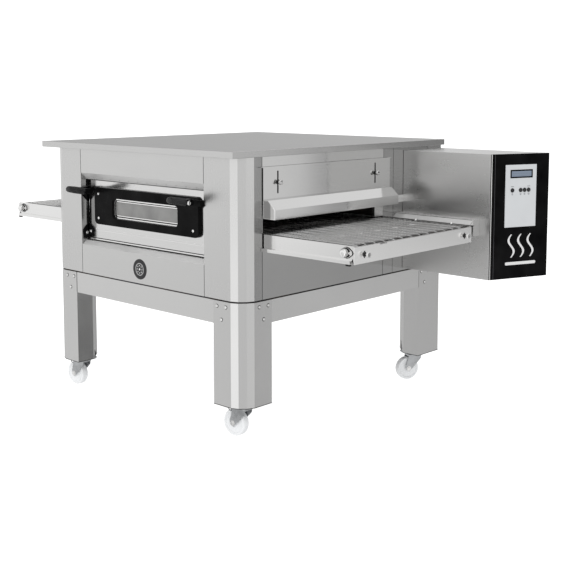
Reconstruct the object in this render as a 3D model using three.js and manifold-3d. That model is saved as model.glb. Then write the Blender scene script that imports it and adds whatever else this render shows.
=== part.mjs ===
// Free-standing conveyor pizza oven on a castored stand.
// Millimetres, +Z up. The drawing datum is the outer corner where the front face meets the
// exit face, at floor level: X = 0 on the exit face and negative towards the entrance,
// Y = 0 on the front (door) face and positive towards the back, Z = 0 on the floor.
// The last lines move the datum so that the origin is the bottom centre of the whole oven.

import * as THREE from 'three';
import { mergeVertices } from 'three/addons/utils/BufferGeometryUtils.js';
import Module from 'manifold-3d';

const wasm = await Module();
wasm.setup();

// ---------------------------------------------------------------- driving dimensions

const GAP = 0.3;                 // clearance between touching pieces
const SHEET = 2.5;               // casing sheet thickness
const THIN = 2;                  // light sheet thickness

const BODY_LENGTH = 1135;        // along X
const BODY_DEPTH = 1212;         // along Y
const CORNER = 61;               // setback of the three-facet front corners

const WHEEL_RADIUS = 50;
const WHEEL_SEGMENTS = 32;
const CASTER_TRAIL = 33;

const LEG_SIZE = 150;
const LEG_CHAMFER = 72;          // inner corner of the leg
const LEG_BOTTOM = 126;
const STAND_TOP = 513.5;
const RAIL_BOTTOM = 428;
const FLANGE = 32;               // inward return of rails and panels

const BODY_BOTTOM = 518.5;
const BODY_TOP = 1054.7;
const COVER_BOTTOM = 1034;
const COVER_TOP = 1058;
const COVER_FRONT = 50;          // overhangs of the top cover
const COVER_REAR = 20;
const COVER_SIDE = 5;

const RECESS_LEFT = -941.5;      // door recess in the front face
const RECESS_RIGHT = -197.6;
const RECESS_BOTTOM = 635;
const RECESS_TOP = 933;
const JAMB_DEPTH = 28;
const SILL_RISE = 17;
const SIDE_FLAT = 101;           // corner post's flat on the exit and entrance faces

const TUNNEL_NEAR = SIDE_FLAT + GAP;
const TUNNEL_FAR = 807;
const TUNNEL_BOTTOM = 693;
const TUNNEL_TOP = 862;

const FRAME_NEAR = 106;          // conveyor side plates, outer faces
const FRAME_FAR = 805;
const FRAME_EXIT = 419;
const FRAME_ENTRANCE = -1566;
const FRAME_TOP = 756;
const FRAME_BOTTOM = 712;
const SHAFT_INSET = 32;          // shaft axis, from the end of the side plates
const SHAFT_Z = 732;
const SHAFT_RADIUS = 10;
const SHAFT_STUB = { near: 24, far: 14 };   // shaft ends outside the side plates
const SPROCKET_RADIUS = 20.3;
const SPROCKET_PLACES = [150, 354, 558, 762];
const BELT_RADIUS = 22;
const BELT_THICKNESS = 1.2;
const BELT_EDGE = 6;             // clearance from the side plates
const SUPPORT_BOTTOM = 695;      // support bars under the side plates
const SUPPORT_SIZE = 12;
const SUPPORT_EXIT = 410;
const SUPPORT_ENTRANCE = -1557;

const KNOB = { stud: 3, radius: 8.5, thickness: 8, reach: 24 };   // thumb knob on its stud

const END_BAR_BOTTOM = 694;
const END_BAR_TOP = 752;
const END_BAR_FLANGE = 10;
const END_BAR_NOTCH = { near: 243, far: 281, depth: 5 };   // finger notch, exit end only
const END_STUD_Z = 724;
const END_STUD_NEAR = 158;
const END_STUD_FAR = 760;

const HOOD_FRONT = 63;           // exit hood, out from the face
const HOOD_SHOULDER = 28;
const HOOD_BOTTOM = 812.6;
const HOOD_BREAK = 847.5;
const HOOD_TOP = 879;
const HOOD_FAR = 824;
const BAFFLE_TOP = 998;
const BAFFLE_FAR = 842;
const BAFFLE_STANDOFF = 3;
const BAFFLE_LIP = 9;
const BAFFLE_STUD_Z = 940;
const BAFFLE_SLOT = 81.5;
const BAFFLE_STUD_NEAR = 177.5;
const BAFFLE_STUD_FAR = 745;

const DOOR_FACE = 37.5;          // front face of the door panel, behind the front face
const DOOR_DEPTH = 9;
const DOOR_BOTTOM = 656;
const DOOR_TOP = 902;
const DOOR_MARGIN = 6;           // to the recess sides
const DOOR_CENTRE = (RECESS_LEFT + RECESS_RIGHT) / 2;
const WINDOW_FRAME = { width: 631, bottom: 724, top: 876, radius: 20, thickness: 13 };
const WINDOW = { width: 397, bottom: 755, top: 836, radius: 16 };
const HINGE_Y = 22;
const HINGE_Z = 683;
const ARM = { gap: 1.2, thickness: 2.5, near: 27 };   // handle arm, from the recess side
const TAB_WIDTH = 34;            // folded from the arm onto the door
const GRIP = { inward: 64, z: 862, radius: 14, length: 88, tilt: 10.5 };   // tilt in degrees
const GRIP_PLATE = { near: -12, thickness: 2.5, bottom: 850, top: 873 };
const GRIP_BLOCK = 21;           // in front of the plate

const BOX_NEAR = 940.6;          // control box
const BOX_FAR = 1197.5;
const BOX_NEAR_LENGTH = 422;
const BOX_FAR_LENGTH = 528;
const BOX_BOTTOM = 528;
const BOX_TOP = 1022;
const PANEL_THICKNESS = 4;

const KEYPAD = { left: 65.8, right: 214.4, top: 979, bottom: 733, thickness: 2.3 };
const BUTTON_RADIUS = 8.2;
const BUTTON_Z = 878.7;
const BUTTON_PLACES = [99.2, 138.8, 157.8, 177.3];   // from the near edge of the panel

const GUARD_NEAR = 893;          // drive guard along the control box
const GUARD_BOTTOM = 702;
const GUARD_TOP = 766;
const GUARD_LENGTH = 374;

const MOTOR_X = 335;
const GEARBOX = { half: 40, near: 952, far: 1012 };
const MOTOR = { radius: 32, end: 1130, shaft: 7, shaftHole: 12 };

const LINER_NEAR = 60;           // baking chamber liner
const LINER_FAR = 905;
const LINER_BOTTOM = 640;
const LINER_TOP = 890;
const LINER_END = 45;            // from the exit and entrance faces

const ELEMENT = { radius: 4, upper: 868, lower: 666, end: 60, runs: [180, 380, 580, 780] };

const FAN_X = -567.5;
const FAN_Z = 780;
const FAN = { disc: 98, blade: 95, blades: 8, front: 1095, back: 1146, hub: 32, shaft: 6 };
const FAN_MOTOR = { radius: 36, length: 58, flange: 45, standoff: 6, hole: 16 };

const REAR_COVER = { left: -1075, right: -60, bottom: 620, top: 1015, depth: 74 };

// ---------------------------------------------------------------- materials

const finish = (color, roughness, metalness) =>
  new THREE.MeshStandardMaterial({ color, roughness, metalness });

const brushedSteel = () => finish(0xc3c4c5, 0.34, 1.0);
const polishedSteel = () => finish(0xd2d3d4, 0.2, 1.0);
const coverSteel = () => finish(0xadaeaf, 0.42, 1.0);
const zincPlate = () => finish(0xb4b8ba, 0.38, 1.0);
const whiteNylon = () => finish(0xeceded, 0.45, 0.0);
const blackPaint = () => finish(0x161616, 0.4, 0.0);
const blackGloss = () => finish(0x0b0b0c, 0.12, 0.0);
const greyKeypad = () => finish(0xc9d2da, 0.4, 0.0);
const wireSteel = () => finish(0xa7a6a4, 0.3, 1.0);
const darkSteel = () => finish(0x55504c, 0.5, 1.0);
const castMetal = () => finish(0x8d9092, 0.5, 1.0);
const windowGlass = () => finish(0x9aa3a4, 0.05, 0.0);

// ---------------------------------------------------------------- solids

const vec2 = ([x, y]) => new THREE.Vector2(x, y);

function box(x0, x1, y0, y1, z0, z1) {
  const geometry = new THREE.BoxGeometry(x1 - x0, y1 - y0, z1 - z0);
  return geometry.translate((x0 + x1) / 2, (y0 + y1) / 2, (z0 + z1) / 2);
}

function extrude(points, depth, holes = []) {
  const shape = new THREE.Shape(points.map(vec2));
  shape.holes = holes.map((hole) => new THREE.Path(hole.map(vec2)));
  return new THREE.ExtrudeGeometry(shape, { depth, bevelEnabled: false });
}

// Outline in (X, Y), standing from z0 to z1.
function prismZ(points, z0, z1, holes) {
  return extrude(points, z1 - z0, holes).translate(0, 0, z0);
}

// Outline in (X, Z), running from y0 to y1.
function prismY(points, y0, y1, holes) {
  return extrude(points, y1 - y0, holes).rotateX(Math.PI / 2).translate(0, y1, 0);
}

// Outline in (Y, Z), running from x0 to x1.
function prismX(points, x0, x1, holes) {
  const turn = new THREE.Matrix4().makeBasis(
    new THREE.Vector3(0, 1, 0), new THREE.Vector3(0, 0, 1), new THREE.Vector3(1, 0, 0));
  return extrude(points, x1 - x0, holes).applyMatrix4(turn).translate(x0, 0, 0);
}

// Solid of revolution about Y from (radius, y) points; the profile starts and ends on the axis.
function turned(profile, segments, x, z) {
  const geometry = new THREE.LatheGeometry(profile.map(vec2), segments);
  return geometry.rotateY(Math.PI / segments).translate(x, 0, z);
}

function rodY(radius, y0, y1, x, z, segments = 16) {
  return turned([[0, y0], [radius, y0], [radius, y1], [0, y1]], segments, x, z);
}

function rodX(radius, x0, x1, y, z, segments = 16) {
  const geometry = turned([[0, x0], [radius, x0], [radius, x1], [0, x1]], segments, 0, 0);
  return geometry.rotateZ(-Math.PI / 2).translate(0, y, z);
}

function circle(cx, cy, radius, segments = 16) {
  return Array.from({ length: segments }, (_, i) => {
    const angle = (2 * Math.PI * (i + 0.5)) / segments;
    return [cx + radius * Math.cos(angle), cy + radius * Math.sin(angle)];
  });
}

function roundedRect(x0, x1, y0, y1, radius, steps = 4) {
  const corners = [[x1 - radius, y1 - radius], [x0 + radius, y1 - radius],
    [x0 + radius, y0 + radius], [x1 - radius, y0 + radius]];
  return corners.flatMap(([cx, cy], quarter) =>
    Array.from({ length: steps + 1 }, (_, i) => {
      const angle = (Math.PI / 2) * (quarter + i / steps);
      return [cx + radius * Math.cos(angle), cy + radius * Math.sin(angle)];
    }));
}

// Outline of a folded sheet: the path, and the same path offset to its left by the thickness.
function folded(path, thickness) {
  const points = path.map(vec2);
  const normals = points.slice(1).map((point, i) => {
    const along = point.clone().sub(points[i]).normalize();
    return new THREE.Vector2(-along.y, along.x);
  });
  const offset = points.map((point, i) => {
    const before = normals[Math.max(i - 1, 0)];
    const after = normals[Math.min(i, normals.length - 1)];
    const mitre = before.clone().add(after);
    return point.clone().addScaledVector(mitre, (2 * thickness) / mitre.lengthSq());
  });
  return [...points, ...offset.reverse()].map((point) => [point.x, point.y]);
}

function toManifold(geometry) {
  const bare = geometry.clone();
  bare.deleteAttribute('normal');
  bare.deleteAttribute('uv');
  const merged = mergeVertices(bare, 1e-4);
  return new wasm.Manifold(new wasm.Mesh({
    numProp: 3,
    vertProperties: new Float32Array(merged.attributes.position.array),
    triVerts: new Uint32Array(merged.index.array),
  }));
}

function fromManifold(solid) {
  const mesh = solid.getMesh();
  const geometry = new THREE.BufferGeometry();
  geometry.setAttribute('position', new THREE.BufferAttribute(mesh.vertProperties, 3));
  geometry.setIndex(new THREE.BufferAttribute(mesh.triVerts, 1));
  geometry.computeVertexNormals();
  return geometry;
}

function join(...geometries) {
  return fromManifold(geometries.map(toManifold).reduce((sum, next) => sum.add(next)));
}

function cut(geometry, ...cutters) {
  const solid = cutters.map(toManifold).reduce((rest, cutter) => rest.subtract(cutter),
    toManifold(geometry));
  return fromManifold(solid);
}

// ---------------------------------------------------------------- assembly helpers

const oven = new THREE.Group();

function part(name, geometry, material, group = oven) {
  const mesh = new THREE.Mesh(geometry, material);
  mesh.name = name;
  group.add(mesh);
  return mesh;
}

// Where the body's four corners are, and which way is inwards from each.
const CORNERS = {
  front_exit: { x: 0, y: 0, inX: -1, inY: 1 },
  front_entrance: { x: -BODY_LENGTH, y: 0, inX: 1, inY: 1 },
  rear_exit: { x: 0, y: BODY_DEPTH, inX: -1, inY: -1, square: true },
  rear_entrance: { x: -BODY_LENGTH, y: BODY_DEPTH, inX: 1, inY: -1, square: true },
};

// The three facets of a corner as (inwards along X, inwards along Y) points.
function facets(setback) {
  const angles = [22.5, 45, 67.5].map(THREE.MathUtils.degToRad);
  const length = setback / angles.reduce((sum, angle) => sum + Math.cos(angle), 0);
  const points = [[setback, 0]];
  angles.forEach((angle) => {
    const [u, v] = points.at(-1);
    points.push([u - length * Math.cos(angle), v + length * Math.sin(angle)]);
  });
  return points;
}

// Outer corner of stand and casing: faceted at the front, square at the back.
function cornerSkin(corner, setback) {
  return corner.square ? [[0, 0]] : facets(setback);
}

// Turns a corner's (u, v) outline into (X, Y), kept anticlockwise.
function atCorner(corner, outline) {
  const points = outline.map(([u, v]) => [corner.x + corner.inX * u, corner.y + corner.inY * v]);
  return corner.inX * corner.inY > 0 ? points : points.reverse();
}

// ---------------------------------------------------------------- stand

function leg(corner) {
  const outline = (inset) => {
    const low = inset;
    const high = LEG_SIZE - inset;
    const chamfer = LEG_CHAMFER - 0.6 * inset;
    const skin = cornerSkin(corner, CORNER - 0.4 * inset)
      .map(([u, v]) => [u + inset, v + inset]);
    return [...skin.reverse(), [high, low], [high, high - chamfer], [high - chamfer, high],
      [low, high]];
  };
  const tube = prismZ(atCorner(corner, outline(0)), LEG_BOTTOM, STAND_TOP,
    [atCorner(corner, outline(SHEET))]);
  const foot = prismZ(atCorner(corner, outline(SHEET / 2)), LEG_BOTTOM, LEG_BOTTOM + 4);
  return join(tube, foot);
}

function stand() {
  Object.entries(CORNERS).forEach(([place, corner]) => {
    part(`leg_${place}`, leg(corner), brushedSteel());
  });
  const inner = LEG_SIZE + GAP;
  const channel = (face, into) => folded([
    [face + into * FLANGE, STAND_TOP], [face, STAND_TOP],
    [face, RAIL_BOTTOM], [face + into * FLANGE, RAIL_BOTTOM]], into * SHEET);
  part('rail_front', prismX(channel(0, 1), inner - BODY_LENGTH, -inner), brushedSteel());
  part('rail_rear', prismX(channel(BODY_DEPTH, -1), inner - BODY_LENGTH, -inner), brushedSteel());
  part('rail_exit', prismY(channel(0, -1), inner, BODY_DEPTH - inner), brushedSteel());
  part('rail_entrance', prismY(channel(-BODY_LENGTH, 1), inner, BODY_DEPTH - inner),
    brushedSteel());
}

// ---------------------------------------------------------------- casters

const WHEEL_WIDTH = 32;
const WHEEL_BORE = 5.4;
const AXLE_RADIUS = 5;
const CHEEK_GAP = 18.5;          // inner faces of the fork's cheeks, from the middle
const CHEEK = 3;
const CROWN = { back: -34, front: 28, bottom: 105, top: 111 };
const RACE = { radius: 30, foot: 27, height: 9 };
const PEDAL_HALF_WIDTH = 21;

// Caster frame: swivel axis at the origin, wheel trailing towards -X, axle along Y.
function casterFork(braked) {
  const cheekOutline = [
    [-CASTER_TRAIL - 12, 44], [-CASTER_TRAIL + 4, 37], [-CASTER_TRAIL + 13, 47],
    [24, 92], [27, 108], [-33, 108], [-CASTER_TRAIL - 14, 60]];
  const cheek = (y) => prismY(cheekOutline, y, y + CHEEK);
  const crown = box(CROWN.back, CROWN.front, -CHEEK_GAP - CHEEK, CHEEK_GAP + CHEEK,
    CROWN.bottom, CROWN.top);
  const race = new THREE.CylinderGeometry(RACE.radius, RACE.foot, RACE.height, 24)
    .rotateX(Math.PI / 2).translate(0, 0, CROWN.top + RACE.height / 2 - 0.5);
  const axle = rodY(AXLE_RADIUS, -CHEEK_GAP - 8, CHEEK_GAP + 8, -CASTER_TRAIL, WHEEL_RADIUS, 12);
  const pieces = [crown, cheek(CHEEK_GAP), cheek(-CHEEK_GAP - CHEEK), race, axle];
  if (braked) {
    pieces.push(prismY([[-33, 108], [-62, 112], [-62, 118], [-30, 111]],
      -PEDAL_HALF_WIDTH, PEDAL_HALF_WIDTH));
  }
  return join(...pieces);
}

function casterWheel() {
  const rim = WHEEL_RADIUS / Math.cos(Math.PI / WHEEL_SEGMENTS);
  const half = WHEEL_WIDTH / 2;
  const edge = 4;
  const profile = [[WHEEL_BORE, -half], [rim - edge, -half], [rim, edge - half],
    [rim, half - edge], [rim - edge, half], [WHEEL_BORE, half], [WHEEL_BORE, -half]];
  return turned(profile, WHEEL_SEGMENTS, -CASTER_TRAIL, WHEEL_RADIUS);
}

// Which way each caster points at rest, in degrees about Z, and whether it has a brake pedal.
const CASTERS = {
  front_exit: { heading: 5, braked: true },
  front_entrance: { heading: 5, braked: true },
  rear_exit: { heading: 62, braked: false },
  rear_entrance: { heading: -37, braked: false },
};

function casters() {
  Object.entries(CASTERS).forEach(([place, { heading, braked }]) => {
    const corner = CORNERS[place];
    const inward = LEG_SIZE / 2;
    const group = new THREE.Group();
    group.position.set(corner.x + corner.inX * inward, corner.y + corner.inY * inward, 0);
    group.rotation.z = THREE.MathUtils.degToRad(heading);
    part(`caster_fork_${place}`, casterFork(braked), zincPlate(), group);
    part(`caster_wheel_${place}`, casterWheel(), whiteNylon(), group);
    oven.add(group);
  });
}

// ---------------------------------------------------------------- casing

function cornerPost(corner, frontFlat, returnDepth) {
  const path = [[SIDE_FLAT - 80, SIDE_FLAT], [0, SIDE_FLAT], ...cornerSkin(corner, CORNER).reverse(),
    [frontFlat, 0], [frontFlat, returnDepth]];
  return prismZ(atCorner(corner, folded(path, SHEET).reverse()), BODY_BOTTOM, BODY_TOP);
}

function endFacePanels(side, face, into) {
  const flat = (z0, z1) => folded([
    [face + into * FLANGE, z1], [face, z1], [face, z0], [face + into * FLANGE, z0]],
  into * SHEET);
  const out = -into;
  const studs = [BAFFLE_STUD_NEAR, BAFFLE_STUD_FAR].flatMap((y) =>
    clampKnob(face, out, y, BAFFLE_STUD_Z));
  const upper = prismY(flat(TUNNEL_TOP, BODY_TOP), TUNNEL_NEAR, TUNNEL_FAR - GAP);
  part(`${side}_upper_panel`, join(upper, ...studs), brushedSteel());
  part(`${side}_lower_panel`, prismY(flat(BODY_BOTTOM, TUNNEL_BOTTOM), TUNNEL_NEAR,
    TUNNEL_FAR - GAP), brushedSteel());
  part(`${side}_side_panel`, prismY(flat(BODY_BOTTOM, BODY_TOP), TUNNEL_FAR,
    BODY_DEPTH - SIDE_FLAT - GAP), brushedSteel());
}

// Stud with a round thumb knob, standing out of a face at X = face.
function clampKnob(face, out, y, z) {
  const rod = (radius, from, to, segments) => {
    const ends = [face + out * from, face + out * to].sort((a, b) => a - b);
    return rodX(radius, ...ends, y, z, segments);
  };
  return [rod(KNOB.stud, -4, KNOB.reach - 2, 10),
    rod(KNOB.radius, KNOB.reach - KNOB.thickness, KNOB.reach, 16)];
}

function casing() {
  const frontFlat = -RECESS_RIGHT;
  part('corner_post_front_exit', cornerPost(CORNERS.front_exit, frontFlat, JAMB_DEPTH),
    brushedSteel());
  part('corner_post_front_entrance', cornerPost(CORNERS.front_entrance,
    BODY_LENGTH + RECESS_LEFT, JAMB_DEPTH), brushedSteel());
  part('corner_post_rear_exit', cornerPost(CORNERS.rear_exit, SIDE_FLAT, 20), brushedSteel());
  part('corner_post_rear_entrance', cornerPost(CORNERS.rear_entrance, SIDE_FLAT, 20),
    brushedSteel());

  const left = RECESS_LEFT + GAP;
  const right = RECESS_RIGHT - GAP;
  const upperPath = [[0, BODY_TOP], [0, RECESS_TOP], [JAMB_DEPTH, RECESS_TOP - JAMB_DEPTH]];
  part('front_upper_panel', prismX(folded(upperPath, SHEET), left, right), brushedSteel());
  const lowerPath = [[JAMB_DEPTH + 8, RECESS_BOTTOM + SILL_RISE],
    [SILL_RISE + 5, RECESS_BOTTOM + SILL_RISE], [0, RECESS_BOTTOM], [0, BODY_BOTTOM],
    [FLANGE, BODY_BOTTOM]];
  part('front_lower_panel', prismX(folded(lowerPath, SHEET), left, right), brushedSteel());

  endFacePanels('exit', 0, -1);
  endFacePanels('entrance', -BODY_LENGTH, 1);

  const rear = box(SIDE_FLAT + GAP - BODY_LENGTH, -SIDE_FLAT - GAP, BODY_DEPTH - SHEET,
    BODY_DEPTH, BODY_BOTTOM, BODY_TOP);
  const shaftHole = rodY(FAN_MOTOR.hole, BODY_DEPTH - 20, BODY_DEPTH + 20, FAN_X, FAN_Z, 20);
  part('rear_panel', cut(rear, shaftHole), brushedSteel());

  const inset = 6;
  const plan = ['front_exit', 'rear_exit', 'rear_entrance', 'front_entrance'].flatMap((place) => {
    const corner = CORNERS[place];
    const rim = cornerSkin(corner, CORNER).map(([u, v]) => [u + inset, v + inset]);
    return atCorner(corner, rim).reverse();
  });
  part('base_pan', prismZ(plan, STAND_TOP + GAP, BODY_BOTTOM - GAP), darkSteel());

  const cover = box(-BODY_LENGTH - COVER_SIDE, COVER_SIDE, -COVER_FRONT, BODY_DEPTH + COVER_REAR,
    COVER_BOTTOM, COVER_TOP);
  const hollow = box(THIN - BODY_LENGTH - COVER_SIDE, COVER_SIDE - THIN, THIN - COVER_FRONT,
    BODY_DEPTH + COVER_REAR - THIN, COVER_BOTTOM - 10, COVER_TOP - 3);
  part('top_cover', cut(cover, hollow), coverSteel());

  const back = BODY_DEPTH + GAP;
  const shell = box(REAR_COVER.left, REAR_COVER.right, back, back + REAR_COVER.depth,
    REAR_COVER.bottom, REAR_COVER.top);
  const inside = box(REAR_COVER.left + THIN, REAR_COVER.right - THIN, back - 10,
    back + REAR_COVER.depth - THIN, REAR_COVER.bottom + THIN, REAR_COVER.top - THIN);
  part('rear_cover', cut(shell, inside), brushedSteel());
}

// ---------------------------------------------------------------- baking chamber

// Zig-zag rod: long runs along X, joined at alternate ends.
function heatingElement(z) {
  const { radius, runs } = ELEMENT;
  const ends = [LINER_END + ELEMENT.end - BODY_LENGTH, -LINER_END - ELEMENT.end];
  const overlap = 0.75 * radius;
  const long = runs.map((y) => rodX(radius, ends[0] - overlap, ends[1] + overlap, y, z, 8));
  const turns = runs.slice(1).map((y, i) =>
    rodY(radius, runs[i] - overlap, y + overlap, ends[(i + 1) % 2], z, 8));
  return join(...long, ...turns);
}

function chamber() {
  const path = [[LINER_NEAR, LINER_BOTTOM], [LINER_FAR, LINER_BOTTOM], [LINER_FAR, LINER_TOP],
    [LINER_NEAR, LINER_TOP]];
  part('chamber_liner', prismX(folded(path, THIN), LINER_END - BODY_LENGTH, -LINER_END),
    darkSteel());
  part('heating_element_upper', heatingElement(ELEMENT.upper), darkSteel());
  part('heating_element_lower', heatingElement(ELEMENT.lower), darkSteel());

  const motorFace = BODY_DEPTH + FAN_MOTOR.standoff;
  const can = rodY(FAN_MOTOR.radius, motorFace, motorFace + FAN_MOTOR.length, FAN_X, FAN_Z, 20);
  const flange = box(FAN_X - FAN_MOTOR.flange, FAN_X + FAN_MOTOR.flange, motorFace,
    motorFace + 5, FAN_Z - FAN_MOTOR.flange, FAN_Z + FAN_MOTOR.flange);
  part('fan_motor', join(can, flange), castMetal());

  const blades = Array.from({ length: FAN.blades }, (_, i) => {
    const blade = box(FAN.hub - 2, FAN.blade, FAN.front, FAN.back - 1, -1.5, 1.5);
    return blade.rotateY((2 * Math.PI * i) / FAN.blades).translate(FAN_X, 0, FAN_Z);
  });
  const disc = rodY(FAN.disc, FAN.back - 4, FAN.back, FAN_X, FAN_Z, 24);
  const hub = rodY(FAN.hub, FAN.front + 15, FAN.back + 14, FAN_X, FAN_Z, 16);
  const shaft = rodY(FAN.shaft, FAN.back + 4, motorFace - GAP, FAN_X, FAN_Z, 12);
  part('fan_wheel', join(disc, hub, shaft, ...blades), castMetal());
}

// ---------------------------------------------------------------- conveyor

const SHAFT_EXIT_X = FRAME_EXIT - SHAFT_INSET;
const SHAFT_ENTRANCE_X = FRAME_ENTRANCE + SHAFT_INSET;

function conveyorSide(outer, into, studY) {
  const span = (from, to) => [outer + into * from, outer + into * to].sort((a, b) => a - b);
  const holes = [SHAFT_EXIT_X, SHAFT_ENTRANCE_X].map((x) => circle(x, SHAFT_Z, 10.6, 20));
  const corners = [[FRAME_ENTRANCE, FRAME_BOTTOM], [FRAME_EXIT, FRAME_BOTTOM],
    [FRAME_EXIT, FRAME_TOP], [FRAME_ENTRANCE, FRAME_TOP]];
  const plate = prismY(corners, ...span(0, SHEET), holes);
  const foot = box(SUPPORT_ENTRANCE, SUPPORT_EXIT, ...span(0, SHEET), SUPPORT_BOTTOM,
    FRAME_BOTTOM + 1);
  const bar = (x0, x1) => box(x0, x1, ...span(-SUPPORT_SIZE, 1), SUPPORT_BOTTOM,
    SUPPORT_BOTTOM + SUPPORT_SIZE);
  const bars = [bar(1, SUPPORT_EXIT), bar(SUPPORT_ENTRANCE, -BODY_LENGTH - 1)];
  const tabReach = Math.abs(studY - outer) + 14;
  const ends = [[FRAME_EXIT, 1], [FRAME_ENTRANCE, -1]].flatMap(([end, out]) => {
    const xs = [end - out * 5, end - out * 2].sort((a, b) => a - b);
    const tab = box(...xs, ...span(1, tabReach), END_STUD_Z - 22, END_STUD_Z + 13);
    return [tab, ...clampKnob(end, out, studY, END_STUD_Z)];
  });
  return join(plate, foot, ...bars, ...ends);
}

function rollerShaft(x) {
  const shaftStart = FRAME_NEAR - SHAFT_STUB.near;
  const shaftEnd = FRAME_FAR + SHAFT_STUB.far;
  const half = 5;
  const discs = SPROCKET_PLACES.flatMap((y) => [
    [SHAFT_RADIUS, y - half], [SPROCKET_RADIUS, y - half],
    [SPROCKET_RADIUS, y + half], [SHAFT_RADIUS, y + half]]);
  return turned([[0, shaftStart], [SHAFT_RADIUS, shaftStart], ...discs,
    [SHAFT_RADIUS, shaftEnd], [0, shaftEnd]], 14, x, SHAFT_Z);
}

function belt() {
  const loop = (radius) => [[SHAFT_EXIT_X, -90], [SHAFT_ENTRANCE_X, 90]].flatMap(([x, start]) =>
    Array.from({ length: 9 }, (_, i) => {
      const angle = THREE.MathUtils.degToRad(start + i * 22.5);
      return [x + radius * Math.cos(angle), SHAFT_Z + radius * Math.sin(angle)];
    }));
  const near = FRAME_NEAR + SHEET + BELT_EDGE;
  const far = FRAME_FAR - SHEET - BELT_EDGE;
  return prismY(loop(BELT_RADIUS), near, far, [loop(BELT_RADIUS - BELT_THICKNESS)]);
}

function endBar(end, out, ...notches) {
  const near = FRAME_NEAR - 2;
  const far = FRAME_FAR + 2;
  const xs = (from, to) => [end + out * from, end + out * to].sort((a, b) => a - b);
  const outer = THIN + 0.4;
  const face = box(...xs(0.4, outer), near, far, END_BAR_BOTTOM, END_BAR_TOP);
  const flange = box(...xs(outer - END_BAR_FLANGE, outer), FRAME_NEAR + SHEET + 2,
    FRAME_FAR - SHEET - 2, END_BAR_TOP - THIN, END_BAR_TOP);
  const slots = [END_STUD_NEAR, END_STUD_FAR].map((y) =>
    box(...xs(-3, outer + 3), y - 3.6, y + 3.6, END_STUD_Z - 12, END_STUD_Z + 12));
  return cut(join(face, flange), ...slots, ...notches);
}

function conveyor() {
  part('conveyor_side_front', conveyorSide(FRAME_NEAR, 1, END_STUD_NEAR), polishedSteel());
  part('conveyor_side_rear', conveyorSide(FRAME_FAR, -1, END_STUD_FAR), polishedSteel());
  part('drive_shaft', rollerShaft(SHAFT_EXIT_X), castMetal());
  part('idler_shaft', rollerShaft(SHAFT_ENTRANCE_X), castMetal());
  part('conveyor_belt', belt(), wireSteel());
  const notch = box(FRAME_EXIT - END_BAR_FLANGE - 2, FRAME_EXIT + THIN + 2, END_BAR_NOTCH.near,
    END_BAR_NOTCH.far, END_BAR_TOP - END_BAR_NOTCH.depth, END_BAR_TOP + 1);
  part('exit_end_bar', endBar(FRAME_EXIT, 1, notch), polishedSteel());
  part('entrance_end_bar', endBar(FRAME_ENTRANCE, -1), polishedSteel());

  const channel = prismX(folded([[BOX_NEAR - GAP, GUARD_TOP], [GUARD_NEAR, GUARD_TOP],
    [GUARD_NEAR, GUARD_BOTTOM], [BOX_NEAR - GAP, GUARD_BOTTOM]], THIN), 1, GUARD_LENGTH);
  const lip = prismX(folded([[GUARD_NEAR + 1, GUARD_TOP - 1], [GUARD_NEAR - 24, GUARD_TOP - 16]],
    THIN), 1, GUARD_LENGTH);
  const cap = box(GUARD_LENGTH - THIN, GUARD_LENGTH, GUARD_NEAR, BOX_NEAR - GAP, GUARD_BOTTOM,
    GUARD_TOP);
  part('drive_guard', join(channel, lip, cap), brushedSteel());
}

// ---------------------------------------------------------------- baffles with hoods

function baffle(face, out) {
  const at = (distance) => face + out * distance;
  const xs = (from, to) => [at(from), at(to)].sort((a, b) => a - b);
  const near = TUNNEL_NEAR + 1;
  const hoodOutline = (inset, back) => {
    const outline = [[at(back), HOOD_BOTTOM - 8 * inset], [at(HOOD_FRONT - inset),
      HOOD_BOTTOM - 8 * inset], [at(HOOD_FRONT - inset), HOOD_BREAK - 0.4 * inset],
    [at(HOOD_SHOULDER - 0.4 * inset), HOOD_TOP - inset], [at(back), HOOD_TOP - inset]];
    return out > 0 ? outline : outline.reverse();
  };
  const hood = cut(prismY(hoodOutline(0, BAFFLE_STANDOFF), near, HOOD_FAR),
    prismY(hoodOutline(THIN, -5), near + THIN, HOOD_FAR - THIN));
  const sheet = box(...xs(BAFFLE_STANDOFF, BAFFLE_STANDOFF + THIN), near, BAFFLE_FAR,
    HOOD_TOP - 1, BAFFLE_TOP);
  const lip = box(...xs(BAFFLE_STANDOFF + 1, BAFFLE_STANDOFF + BAFFLE_LIP), near - 17, BAFFLE_FAR,
    BAFFLE_TOP - THIN, BAFFLE_TOP);
  const slots = [BAFFLE_STUD_NEAR, BAFFLE_STUD_FAR].map((y) => box(...xs(-5, 20), y - 3.8,
    y + 3.8, BAFFLE_STUD_Z - BAFFLE_SLOT / 2, BAFFLE_STUD_Z + BAFFLE_SLOT / 2));
  return join(cut(sheet, ...slots), lip, hood);
}

// ---------------------------------------------------------------- door

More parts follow.
